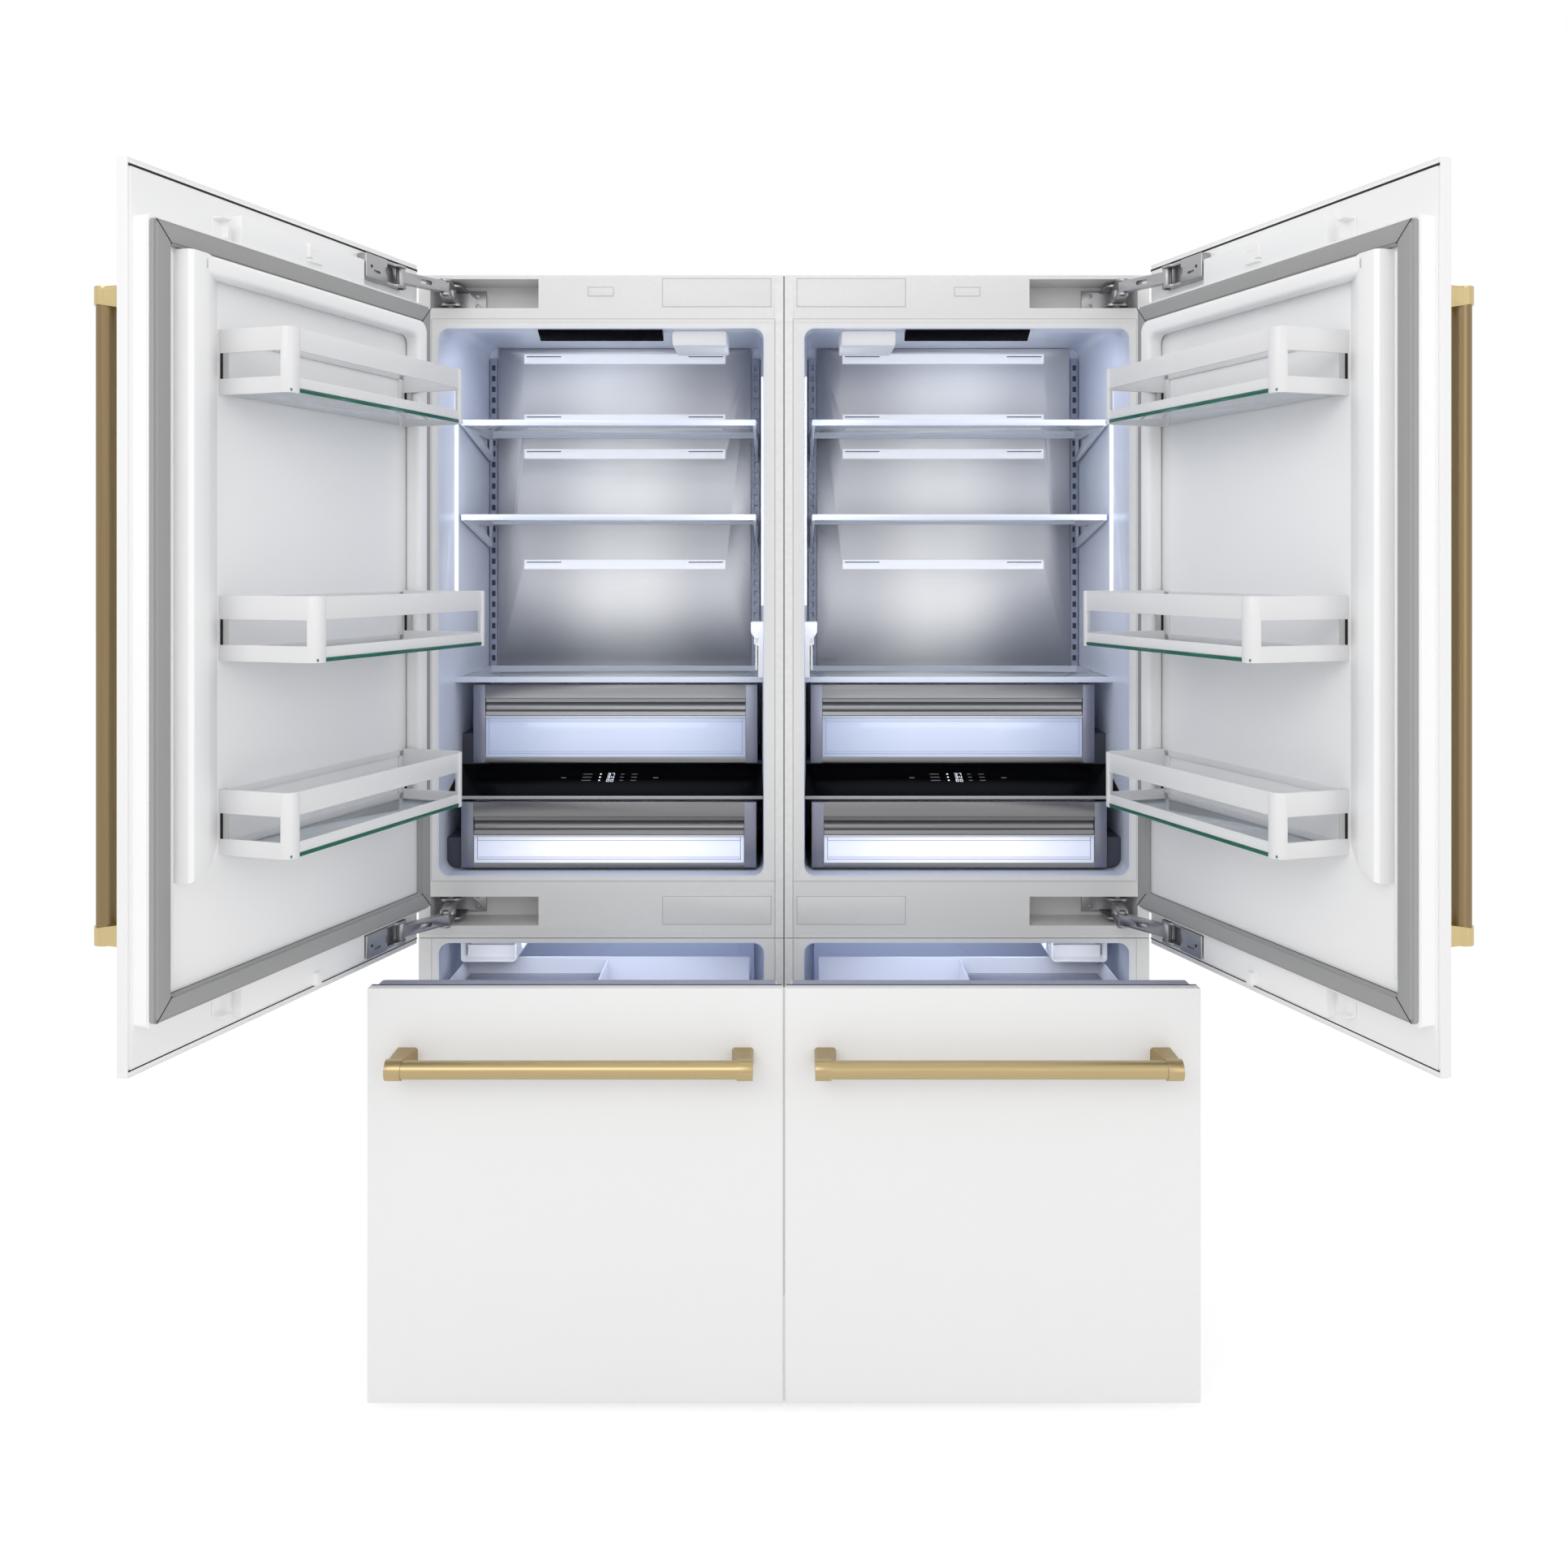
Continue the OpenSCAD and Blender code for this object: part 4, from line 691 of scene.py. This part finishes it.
def buildHooks(low, high, start, end):  # a bar at each end, where a bin hooks onto the liner
    thick, over = binHook["thick"], binHook["over"]
    foot, top = low.z + bins["foot"] - over, high.z - bins["band"] + over
    ends = (low.x + binHook["inset"], high.x - binHook["inset"] - thick)
    return [addBox((x, low.y + start, foot), (x + thick, low.y + end, top), binHook["soft"]) for x in ends]


hookSlotShades, hookPosts = [], []
for level, (low, high) in zip(("Lower", "Middle", "Upper"), solidBoxes("left_door_bins", onDoor=True)):
    hookSlotShades += buildHooks(low, high, *binHook["slot"])
    hookPosts += buildHooks(low, high, *binHook["post"])
    binFrame, glass, edge = buildBin(low, high)
    kind = "Door" + level + "Bin"
    finishOnDoor(binFrame, kind, "bin_white", binWhite, ["SIDE_door_bins"])
    finishOnDoor(glass, kind + "Glass", "clear_glass", binGlass)
    finishOnDoor(edge, kind + "Edge", "clear_glass", greenEdge)
# painted shade: dark bars where the bins hook onto the liner
finishOnDoor(hookSlotShades, "DoorBinSlots", "gasket", blackRubberAndGapShade)
finishOnDoor(hookPosts, "DoorBinPosts", "bin_white", grooveGrey)
print("door bins made")


# Door liners: a rim, a sloping dam on the free side and a thin ridge beside it

liner = {"face": -12.5, "top": 19.5, "foot": 1046, "rimTop": 2007, "outer": 56, "inner": 88, "rimEnd": 668,
         "band": 1976, "round": 8, "corner": 0.022, "innerCorner": 0.018, "sheetSoft": 0.0015,
         "dam": ((694, -12.5), (692, 14), (686, 19.5), (656, 19.5), (646, 15.5), (602, -11.5), (602, -12.5)),
         "damProud": 0.0004, "damSoft": 0.006, "slant": 0.45, "slantFrom": 0.694, "slantBelow": 1.1,
         "ridge": (699, 706), "ridgeTop": -6, "ridgeZ": (905, 2003)}


def buildDam():
    outline = [(x / 1000, y / 1000) for x, y in liner["dam"]]
    dam = addOutline(outline, liner["foot"] / 1000, liner["rimTop"] / 1000 + liner["damProud"])
    for vertex in dam.data.vertices:
        if vertex.co.z < liner["slantBelow"]:
            vertex.co.z += (liner["slantFrom"] - vertex.co.x) * liner["slant"]
    bevelEdges(dam, liner["damSoft"], 4, 25)
    return dam


def buildLiner():
    low, high = columnCorners(nodes["left_door_liner"].data.vertices, onDoor=True)
    keys = ("outer", "inner", "foot", "rimTop", "rimEnd", "band", "face", "top")
    x0, x1, z0, z1, end, band, face, top = (liner[key] / 1000 for key in keys)
    r, s = liner["corner"], liner["innerCorner"]
    sheet = addBox(low, (high.x, face, high.z), liner["sheetSoft"])
    outline = [(x0, z0)] + arcPoints((x0 + r, z1 - r), r, 180, 90) + [(end, z1), (end, band)]
    outline += arcPoints((x1 + s, band - s), s, 90, 180) + [(x1, z0)]
    rim = addOutline(outline, face, top, "Y")
    bevelEdges(rim, liner["round"] / 1000, 4, 40)
    ridge = addBlock(liner["ridge"], (liner["face"] - 1, liner["ridgeTop"]), liner["ridgeZ"], 3, 3)
    return joinInto([sheet, rim, buildDam(), ridge], "liner")


finishOnDoor(buildLiner(), "DoorLiner", "door_liner", doorWhite, ["SIDE_door_liner"])

seal = {"x": (14, 742), "z": (848, 2044), "start": 1.7, "wide": 33, "mark": 1.3, "y": (-0.9, -0.35),
        "shadow": ((48, 708), (-12.6, -11.4), (880.4, 882.4))}


def buildMitre(x, z, toX, toZ):  # a thin dark line across one corner of the seal
    s, w, m = seal["start"], seal["wide"], seal["mark"]
    corner = [(s, s), (s + m, s), (w, w - m), (w, w), (w - m, w), (s, s + m)]
    points = [((x + toX * u) / 1000, (z + toZ * v) / 1000) for u, v in corner]
    return addOutline(points, seal["y"][0] / 1000, seal["y"][1] / 1000, "Y")


inward = (1, -1)
# painted shadow: a black strip under the seal's lower inner edge
finishOnDoor(addBlock(*seal["shadow"]), "DoorSealEdge", "gasket", blackRubberAndGapShade)
mitres = [buildMitre(x, z, toX, toZ)
          for x, toX in zip(seal["x"], inward) for z, toZ in zip(seal["z"], inward)]
finishOnDoor(mitres, "DoorSealMitres", "gasket", blackRubberAndGapShade)

# painted shadow: black strips in the gap between the door panel and its pan, at the door's top and foot
doorGapShadows = {"x": (4, 752), "y": (-41.5, -40.2), "z": ((2121, 2124.6), (778, 780))}
panelGapShadows = [addBlock(doorGapShadows["x"], doorGapShadows["y"], z) for z in doorGapShadows["z"]]
finishOnDoor(panelGapShadows, "DoorPanelSeams", "gasket", blackRubberAndGapShade)

raised = {"x": (205, 535), "y": (-41, -21), "z": ((2050.6, 2100), (792, 841.4)), "soft": 1.5, "hookSoft": 1,
          "hooks": (((362, 371), (-22, -15), (2064, 2092)), ((334, 371), (-22, -15), (2060, 2068)),
                    ((340, 356), (-22, -13), (790, 812)))}
plates = [addBlock(raised["x"], raised["y"], z, raised["soft"]) for z in raised["z"]]
plates += [addBlock(*hook, raised["hookSoft"]) for hook in raised["hooks"]]
finishOnDoor(plates, "DoorRaisedPlates", "painted_case", shellWhite)
print("door liners made")


# Air vents

vent = {"soft": 0.001, "end": 0.004, "long": 0.088, "past": 0.01, "deep": 0.0017, "z": (0.0045, 0.0035),
        "markEnd": 0.002, "markDeep": (0.0006, 0.0019), "markDown": (0.0075, 0.005)}
columnMiddle = 0.7  # a solid that starts before this belongs to the left column


def buildVent(low, high):  # a bar with two long slots, and the shadows in the slots
    bar = addBox(low, high, vent["soft"])
    (foot, top), (near, deep), (down, up) = vent["z"], vent["markDeep"], vent["markDown"]
    shadows = []
    for x0 in (low.x + vent["end"], high.x - vent["end"] - vent["long"]):
        x1, inset = x0 + vent["long"], vent["markEnd"]
        slotLow = (x0, low.y - vent["past"], low.z + foot)
        cutWith(bar, addBox(slotLow, (x1, low.y + vent["deep"], high.z - top)))
        markLow = (x0 + inset, low.y + near, high.z - down)
        shadows.append(addBox(markLow, (x1 - inset, low.y + deep, high.z - up)))
    return bar, shadows


vents, ventSlots = [], []
for low, high in solidBoxes("air_vents"):
    if low.x < columnMiddle:
        bar, shadows = buildVent(low, high)
        vents.append(bar)
        ventSlots += shadows
finishPair(vents, "AirVents", "cabinet", "white_plastic", ventGlowWhite, ["air_vents"])
finishPair(ventSlots, "AirVentSlots", "cabinet", "track_steel", ventSlotGrey)
print("vents made")


# Crisper windows and trims

crispers = {  # y of the front, foot and top of the front, foot and head of its window
    "Upper": {"y": 155, "z": (1098, 1270), "foot": 1110, "head": 1197, "body": "SIDE_upper_drawer"},
    "Lower": {"y": 44, "z": (894, 1032), "foot": 903, "head": 959, "body": "SIDE_lower_drawer"},
}
pane = {"x": (103.2, 671.8), "y": (5, 8), "gap": 0.2, "soft": 0.8}
trims = {"posts": ((77.6, 102.4), (672.6, 697.4)), "postShort": 0.5, "postProud": 0.5, "deep": 0.4,
         "strip": (103.4, 671.6), "stripUp": (0.3, 3.6), "stripProud": 0.6, "soft": 0.3}
paneLines = {"x": (110, 665), "inner": (113, 662), "thin": 1.6, "y": (4.4, 5.4), "up": 7,
             "innerUp": (12, 13), "headDown": (9, 8), "endDown": 1}


def buildPaneLines(y, foot, head):  # a drawn frame that is open at its head, with a second line in it
    (x0, x1), thin, up = paneLines["x"], paneLines["thin"], foot + paneLines["up"]
    upright = (up, head - paneLines["endDown"])
    second = [foot + rise for rise in paneLines["innerUp"]]
    upper = [head - down for down in paneLines["headDown"]]
    places = [((x0, x1), (up, up + thin)), (paneLines["inner"], second), ((x0, x0 + thin), upright),
              ((x1 - thin, x1), upright), ((x0, x1), upper)]
    return [addBlock(x, [y + deep for deep in paneLines["y"]], z) for x, z in places]


# the crisper windows are opaque panes that glow: painted light
for level, crisper in crispers.items():
    height = (crisper["foot"] + pane["gap"], crisper["head"] - pane["gap"])
    plate = addBlock(pane["x"], [crisper["y"] + y for y in pane["y"]], height, pane["soft"])
    finishPair(plate, level + "CrisperWindow", crisper["body"], "clear_plastic", glowingPaneMaterials[level])
for level, crisper in crispers.items():
    kind, body, y, (z0, z1) = level + "Crisper", crisper["body"], crisper["y"], crisper["z"]
    back, soft = y + trims["deep"], trims["soft"]
    depth, height = (y - trims["postProud"], back), (z0 + trims["postShort"], z1 - trims["postShort"])
    posts = [addBlock(x, depth, height, soft) for x in trims["posts"]]
    finishPair(posts, kind + "Posts", body, "crisper_steel", postGrey)
    height = [crisper["head"] + up for up in trims["stripUp"]]
    strip = addBlock(trims["strip"], (y - trims["stripProud"], back), height, soft)
    finishPair(strip, kind + "Strip", body, "shelf_trim", shelfTrim)
    lines = buildPaneLines(y, crisper["foot"], crisper["head"])
    finishPair(lines, kind + "PaneLines", body, "clear_plastic", paneLine)


# Painted shade behind the track slots, outlines and joint lines on the cabinet, the drawer's edge strip and
# painted shadow line, and the ice bin

# painted shade: dark strips set behind the slots of the shelf tracks
track = {"x": (45, 695.5), "slot": (2.4, 13.4), "y": (470.6, 471.6), "z": (1290, 2029)}
slotShadeBlocks = [addBlock([x + end for end in track["slot"]], track["y"], track["z"]) for x in track["x"]]
finishPair(slotShadeBlocks, "TrackSlotShadows", "cabinet", "track_steel", slotShade)

coverLine = {"gap": 0.0002, "line": 0.0014, "y": (-0.001, -0.0002), "past": 0.01}


def buildOutline(low, high):  # a thin ring around one hinge pocket's cover
    gap, line, (y0, y1) = coverLine["gap"], coverLine["line"], coverLine["y"]
    x0, x1, z0, z1 = low.x + gap, high.x - gap, low.z + gap, high.z - gap
    ring = addBox((x0, y0, z0), (x1, y1, z1))
    past = coverLine["past"]
    return cutWith(ring, addBox((x0 + line, -past, z0 + line), (x1 - line, past, z1 - line)))


rings = [buildOutline(low, high) for low, high in solidBoxes("hinge_covers") if low.x < columnMiddle]
finishPair(rings, "CoverOutlines", "cabinet", "white_plastic", grooveGrey)

faceMarks = {"thin": 1.2, "lineY": (-0.25, 0), "across": (27.6, 736.8), "acrossZ": (875.8, 2039.2),
             "upright": ((26.2, (877, 2039)), (26.2, (20, 757)), (737, (760, 2039)), (737, (20, 757))),
             "jointY": (-0.3, 0), "joints": (((754.7, 755.95), (20, 2128)), ((2, 754.6), (757.8, 759.2)))}
thin, lineY = faceMarks["thin"], faceMarks["lineY"]
faceLines = [addBlock((x, x + thin), lineY, z) for x, z in faceMarks["upright"]]
faceLines += [addBlock(faceMarks["across"], lineY, (z, z + thin)) for z in faceMarks["acrossZ"]]
finishPair(faceLines, "FaceLines", "cabinet", "white_plastic", grooveGrey)
faceJoints = [addBlock(x, faceMarks["jointY"], z) for x, z in faceMarks["joints"]]
finishPair(faceJoints, "FaceJoints", "cabinet", "dark_metal", jointGrey)

drawerTrim = {"edge": ((753.4, 755.7), (-343, -336), (15, 763)), "edgeSoft": 0.3,
              "seam": ((4, 752), (-328.2, -324.5), (763.4, 764.3))}
edgeStrip = addBlock(*drawerTrim["edge"], drawerTrim["edgeSoft"])
finishPair(edgeStrip, "DrawerEdgeStrip", "SIDE_freezer_drawer", "front_panel", panelWhite)
# painted shadow: a black strip in the gap between the drawer shell's top and its panel
finishPair(addBlock(*drawerTrim["seam"]), "DrawerTopGapShadow", "SIDE_freezer_drawer", "gasket", blackRubberAndGapShade)

iceBin = {"x": (80, 366), "y": (188, 404), "z": (511, 650), "wall": 2.5, "soft": 0.8}


def buildIceBin():
    x, y, z, wall, soft = (iceBin[key] for key in ("x", "y", "z", "wall", "soft"))
    places = [(x, (y[0], y[0] + wall), z), (x, (y[1] - wall, y[1]), z), ((x[0], x[0] + wall), y, z),
              ((x[1] - wall, x[1]), y, z), (x, y, (z[0], z[0] + wall))]
    return [addBlock(*place, soft) for place in places]


finishPair(buildIceBin(), "IceBin", "SIDE_freezer_drawer", "clear_plastic", clearPlastic, pose=drawerShift)
print("crisper windows and ice bins made")


# Hinge fittings: screws on the bracket plates, caps on the pins and a housing on each door

hinge = {"feet": (792, 2070), "plateFace": 83, "screws": ((104, 11), (104, 33)), "screw": 4.6,
         "screwTall": 0.0024, "screwSoft": 0.0007, "slot": 1.1, "slotLong": 0.62, "slotFrom": 0.0012,
         "slotPast": 0.004, "cap": 6.4, "capTall": 1.0, "capSoft": 0.0003, "doorPlates": (0, 44),
         "linkPlates": (6, 38), "linkPin": (70.985, -61.327, 0)}
housing = {"x": (134, 201), "y": (-40.4, -19.5), "z": (-1, 45), "soft": 2.5, "past": 0.01, "hole": 3.2,
           "holeIn": 0.016, "holeDeep": 0.006, "cut": 9, "cutDeep": 0.012, "slotX": (158, 178),
           "slotZ": (12, 17), "slotDeep": 5}


def buildScrew(x, y, z):  # a domed head with a cross cut, facing the front
    head = addRod((x, y, z), (x, y - hinge["screwTall"], z), hinge["screw"] / 1000, hinge["screwSoft"], 24)
    long, half = hinge["screw"] * hinge["slotLong"] / 1000, hinge["slot"] / 2000
    near, far = y - hinge["slotPast"], y - hinge["slotFrom"]
    for wide, high in ((long, half), (half, long)):
        cutWith(head, addBox((x - wide, near, z - high), (x + wide, far, z + high)))
    return head


def buildHousing(foot):  # a box on the door's pan with a round hole, a half-round cut and a slot
    low, high = housing["z"]
    box = addBlock(housing["x"], housing["y"], (foot + low, foot + high), housing["soft"], 3)
    x, top = [v / 1000 for v in housing["x"]], housing["y"][1] / 1000
    middle, past = (foot + (low + high) / 2) / 1000, top + housing["past"]
    drills = ((x[1] - housing["holeIn"], "holeDeep", "hole"), (x[0], "cutDeep", "cut"))
    for at, deep, radius in drills:
        cutWith(box, addRod((at, top - housing[deep], middle), (at, past, middle), housing[radius] / 1000))
    slotY, slotZ = (housing["y"][1] - housing["slotDeep"], 0), [foot + z for z in housing["slotZ"]]
    return cutWith(box, addBlock(housing["slotX"], slotY, slotZ))


def buildCaps(pin, foot, plates):  # dark ends of a pin, below the lower plate and above the upper one
    tall, radius = hinge["capTall"] / 1000, hinge["cap"] / 1000
    heights = ((foot + plates[0]) / 1000 - tall, (foot + plates[1]) / 1000)
    return [addRod((pin.x, pin.y, z), (pin.x, pin.y, z + tall), radius, hinge["capSoft"]) for z in heights]


screws, housings, doorCaps, linkCaps = [], [], [], []
doorPin = Vector(joints["left_arm_pivot"]["pos_m"]) - origin
linkPin = Vector([value / 1000 for value in hinge["linkPin"]])
for foot in hinge["feet"]:
    plateFace = hinge["plateFace"] / 1000
    screws += [buildScrew(x / 1000, plateFace, (foot + z) / 1000) for x, z in hinge["screws"]]
    housings.append(buildHousing(foot))
    doorCaps += buildCaps(doorPin, foot, hinge["doorPlates"])
    linkCaps += buildCaps(linkPin, foot, hinge["linkPlates"])
finishPair(screws, "HingeScrews", "cabinet", "hinge_steel", hingeNickel)
finishOnDoor(housings, "HingeHousings", "hinge_steel", hingeNickel)
finishPair(doorCaps, "HingeDoorCaps", "SIDE_door", "dark_metal", darkMetal)
finishPair(linkCaps, "HingeLinkCaps", "SIDE_links", "dark_metal", darkMetal)
print("hinge fittings made")


# Display on the control panels

display = {"digit": 0.0105, "wide": 0.0058, "bar": 0.0009, "rise": 0.00035, "rows": ("37", "34", "00"),
           "pitch": 0.0145, "spacing": 1.5, "soft": 0.0001, "icon": (-0.0175, 0.004, 0.0035, 0.004),
           "thin": 0.0011, "dimMarks": ((-0.054, 0.02), (0.028, 0.008), (0.052, 0.012)),
           "farMarks": (-0.1, 0.1), "farMark": (-0.012, 0.011, 0.0015), "across": 0.372, "up": 0.62,
           "lift": 0.0001}
digitBars = {"0": "abcdef", "3": "abcdg", "4": "bcfg", "7": "abc"}


def buildMark(x, v, long, tall):
    return addBox((x, v, 0), (x + long, v + tall, display["rise"]), display["soft"])


def buildDigit(figure, x, v):
    w, h, b = display["wide"], display["digit"], display["bar"]
    bars = {"a": (0, w, h - b, h), "b": (w - b, w, h / 2, h), "c": (w - b, w, 0, h / 2), "d": (0, w, 0, b),
            "e": (0, b, 0, h / 2), "f": (0, b, h / 2, h), "g": (0, w, (h - b) / 2, (h + b) / 2)}
    spans = [bars[letter] for letter in digitBars[figure]]
    return [buildMark(x + u0, v + v0, u1 - u0, v1 - v0) for u0, u1, v0, v1 in spans]


def buildDisplay():  # flat at first, then laid on the slope: bright figures and icons, then dim marks
    bright, dim = [], []
    iconX, iconUp, iconLong, iconTall = display["icon"]
    for row, figures in enumerate(display["rows"]):
        v = -row * display["pitch"]
        for i, figure in enumerate(figures):
            bright += buildDigit(figure, i * display["wide"] * display["spacing"], v)
        bright.append(buildMark(iconX, v + iconUp, iconLong, iconTall))
        middle = v + display["digit"] / 2
        dim += [buildMark(x, middle, long, display["thin"]) for x, long in display["dimMarks"]]
    dim += [buildMark(x, *display["farMark"]) for x in display["farMarks"]]
    return joinInto(bright, "bright"), joinInto(dim, "dim")


panel = nodes["control_panels"].data
slopeFaces = [face for face in panel.polygons if 0.1 < face.normal.z < 0.99 and face.normal.y < -0.1]
slopeNormal = max(slopeFaces, key=lambda face: face.area).normal.copy()
slopePoints = [panel.vertices[i].co for face in slopeFaces for i in face.vertices]
slopeFoot = min(slopePoints, key=lambda point: point.z)
slopeTop = max(slopePoints, key=lambda point: point.z)
slopeUp = Vector((0, slopeTop.y - slopeFoot.y, slopeTop.z - slopeFoot.z))
slopeTurn = Matrix((Vector((1, 0, 0)), slopeUp.normalized(), slopeNormal)).transposed().to_4x4()
for side, columnX in (("left", caseLow.x), ("right", centreX)):
    place = Vector((columnX + display["across"], slopeFoot.y, slopeFoot.z)) + slopeUp * display["up"]
    place += slopeNormal * display["lift"]
    for marks, kind, glow in zip(buildDisplay(), ("Display", "DisplayMarks"), (displayGlow, displayDim)):
        marks.data.transform(Matrix.Translation(place) @ slopeTurn)
        finishPiece(marks, side + kind, "cabinet", "lamp", glow)
print("displays made")


# Light, floor and camera

studio = {"fillStrength": 0.86, "floorSize": 60.0, "floorGlow": 0.6, "glowStrength": 1.22, "floorTone": 0.9}
view = {"distance": 2.758, "height": 1.525, "lens": 30.6, "sensor": 36, "drop": -0.138}
studioLamps = {  # place, target, size, watts
    "keyLamp": ((-1.6, -4.2, 3.4), (0, 0, 1.1), (3.0, 2.0), 38.0),
    "sideLamp": ((2.4, -4.0, 2.2), (0, 0, 1.0), (2.0, 2.6), 15.0),
}
insideLamps = {  # place in the column, target, size, watts
    "Ceiling": ((0.29, 0.06, 2.03), (0.33, 0.3, 1.5), (0.34, 0.1), 0.5),
    "Front": ((0.38, 0.012, 1.5), (0.38, 0.4, 1.45), (0.62, 0.66), 0.45),
    "OuterStrip": ((0.048, 0.07, 1.6), (0.6, 0.3, 1.55), (0.03, 0.75), 0.55),
    "InnerStrip": ((0.702, 0.07, 1.6), (0.15, 0.35, 1.55), (0.03, 0.75), 0.4),
    "Crisper": ((0.37, 0.0, 1.2), (0.37, 0.3, 0.95), (0.5, 0.03), 0.12),
    "Freezer": ((0.42, 0.14, 0.742), (0.41, 0.46, 0.68), (0.45, 0.06), 0.82),
    "FreezerFront": ((0.34, 0.02, 0.742), (0.34, 0.22, 0.66), (0.5, 0.03), 0.19),
}
coolLight = (0.86, 0.91, 1.0)


def seenMask(tree):  # 1 for what the camera sees, also in mirrors and through glass
    path = tree.nodes.new("ShaderNodeLightPath").outputs
    seen = mathNode(tree, "MAXIMUM", path["Is Camera Ray"], path["Is Glossy Ray"])
    return mathNode(tree, "MAXIMUM", seen, path["Is Transmission Ray"])


def buildWorld():
    world = bpy.data.worlds.new("studioWorld")
    bpy.context.scene.world = world
    world.use_nodes = True
    tree = world.node_tree
    tree.nodes.clear()
    strength = spread(tree, seenMask(tree), studio["fillStrength"], 1.0)
    background = addNode(tree, "ShaderNodeBackground", {"Color": (1, 1, 1, 1), "Strength": strength})
    output = tree.nodes.new("ShaderNodeOutputWorld")
    tree.links.new(background.outputs[0], output.inputs[0])


def buildFloor():
    deselectAll()
    bpy.ops.mesh.primitive_plane_add(size=studio["floorSize"], location=(0, 0, 0))
    floor = bpy.context.object
    floor.name = "studioFloor"
    material = bpy.data.materials.new("paleFloor")
    material.use_nodes = True
    tree = material.node_tree
    tree.nodes.clear()
    share = mathNode(tree, "MULTIPLY", seenMask(tree), studio["floorGlow"])
    tone = studio["floorTone"]
    matte = addNode(tree, "ShaderNodeBsdfDiffuse", {"Color": (tone, tone, tone, 1)}).outputs[0]
    glow = addNode(tree, "ShaderNodeEmission", {"Color": (1, 1, 1, 1), "Strength": studio["glowStrength"]})
    mix = addNode(tree, "ShaderNodeMixShader", {0: share, 1: matte, 2: glow.outputs[0]})
    output = tree.nodes.new("ShaderNodeOutputMaterial")
    tree.links.new(mix.outputs[0], output.inputs[0])
    floor.data.materials.append(material)


def addAreaLamp(name, place, target, size, watts, colour=(1, 1, 1)):
    light = bpy.data.lights.new(name, "AREA")
    light.shape = "RECTANGLE"
    light.size, light.size_y = size
    light.energy = watts
    light.color = colour
    lamp = bpy.data.objects.new(name, light)
    bpy.context.scene.collection.objects.link(lamp)
    lamp.location = place
    lamp.rotation_euler = (Vector(target) - Vector(place)).to_track_quat("-Z", "Y").to_euler()
    return lamp


def buildCamera():
    camera = bpy.data.objects.new("camera", bpy.data.cameras.new("camera"))
    bpy.context.scene.collection.objects.link(camera)
    camera.location = (centreX, caseLow.y - view["distance"], view["height"])
    camera.rotation_euler = (math.radians(90), 0, 0)
    camera.data.lens = view["lens"]
    camera.data.sensor_width = view["sensor"]
    camera.data.shift_y = view["drop"]
    bpy.context.scene.camera = camera


buildWorld()
buildFloor()
buildCamera()
for name, lamp in studioLamps.items():
    addAreaLamp(name, *lamp)
for kind, (place, target, size, watts) in insideLamps.items():
    for side, flip in (("left", 1), ("right", -1)):
        points = [Vector((flip * (origin.x + x), origin.y + y, z)) for x, y, z in (place, target)]
        lamp = addAreaLamp(side + kind + "Lamp", *points, size, watts, coolLight)
        lamp.visible_camera = False
bpy.context.scene.view_settings.view_transform = "Standard"
print("studio ready")
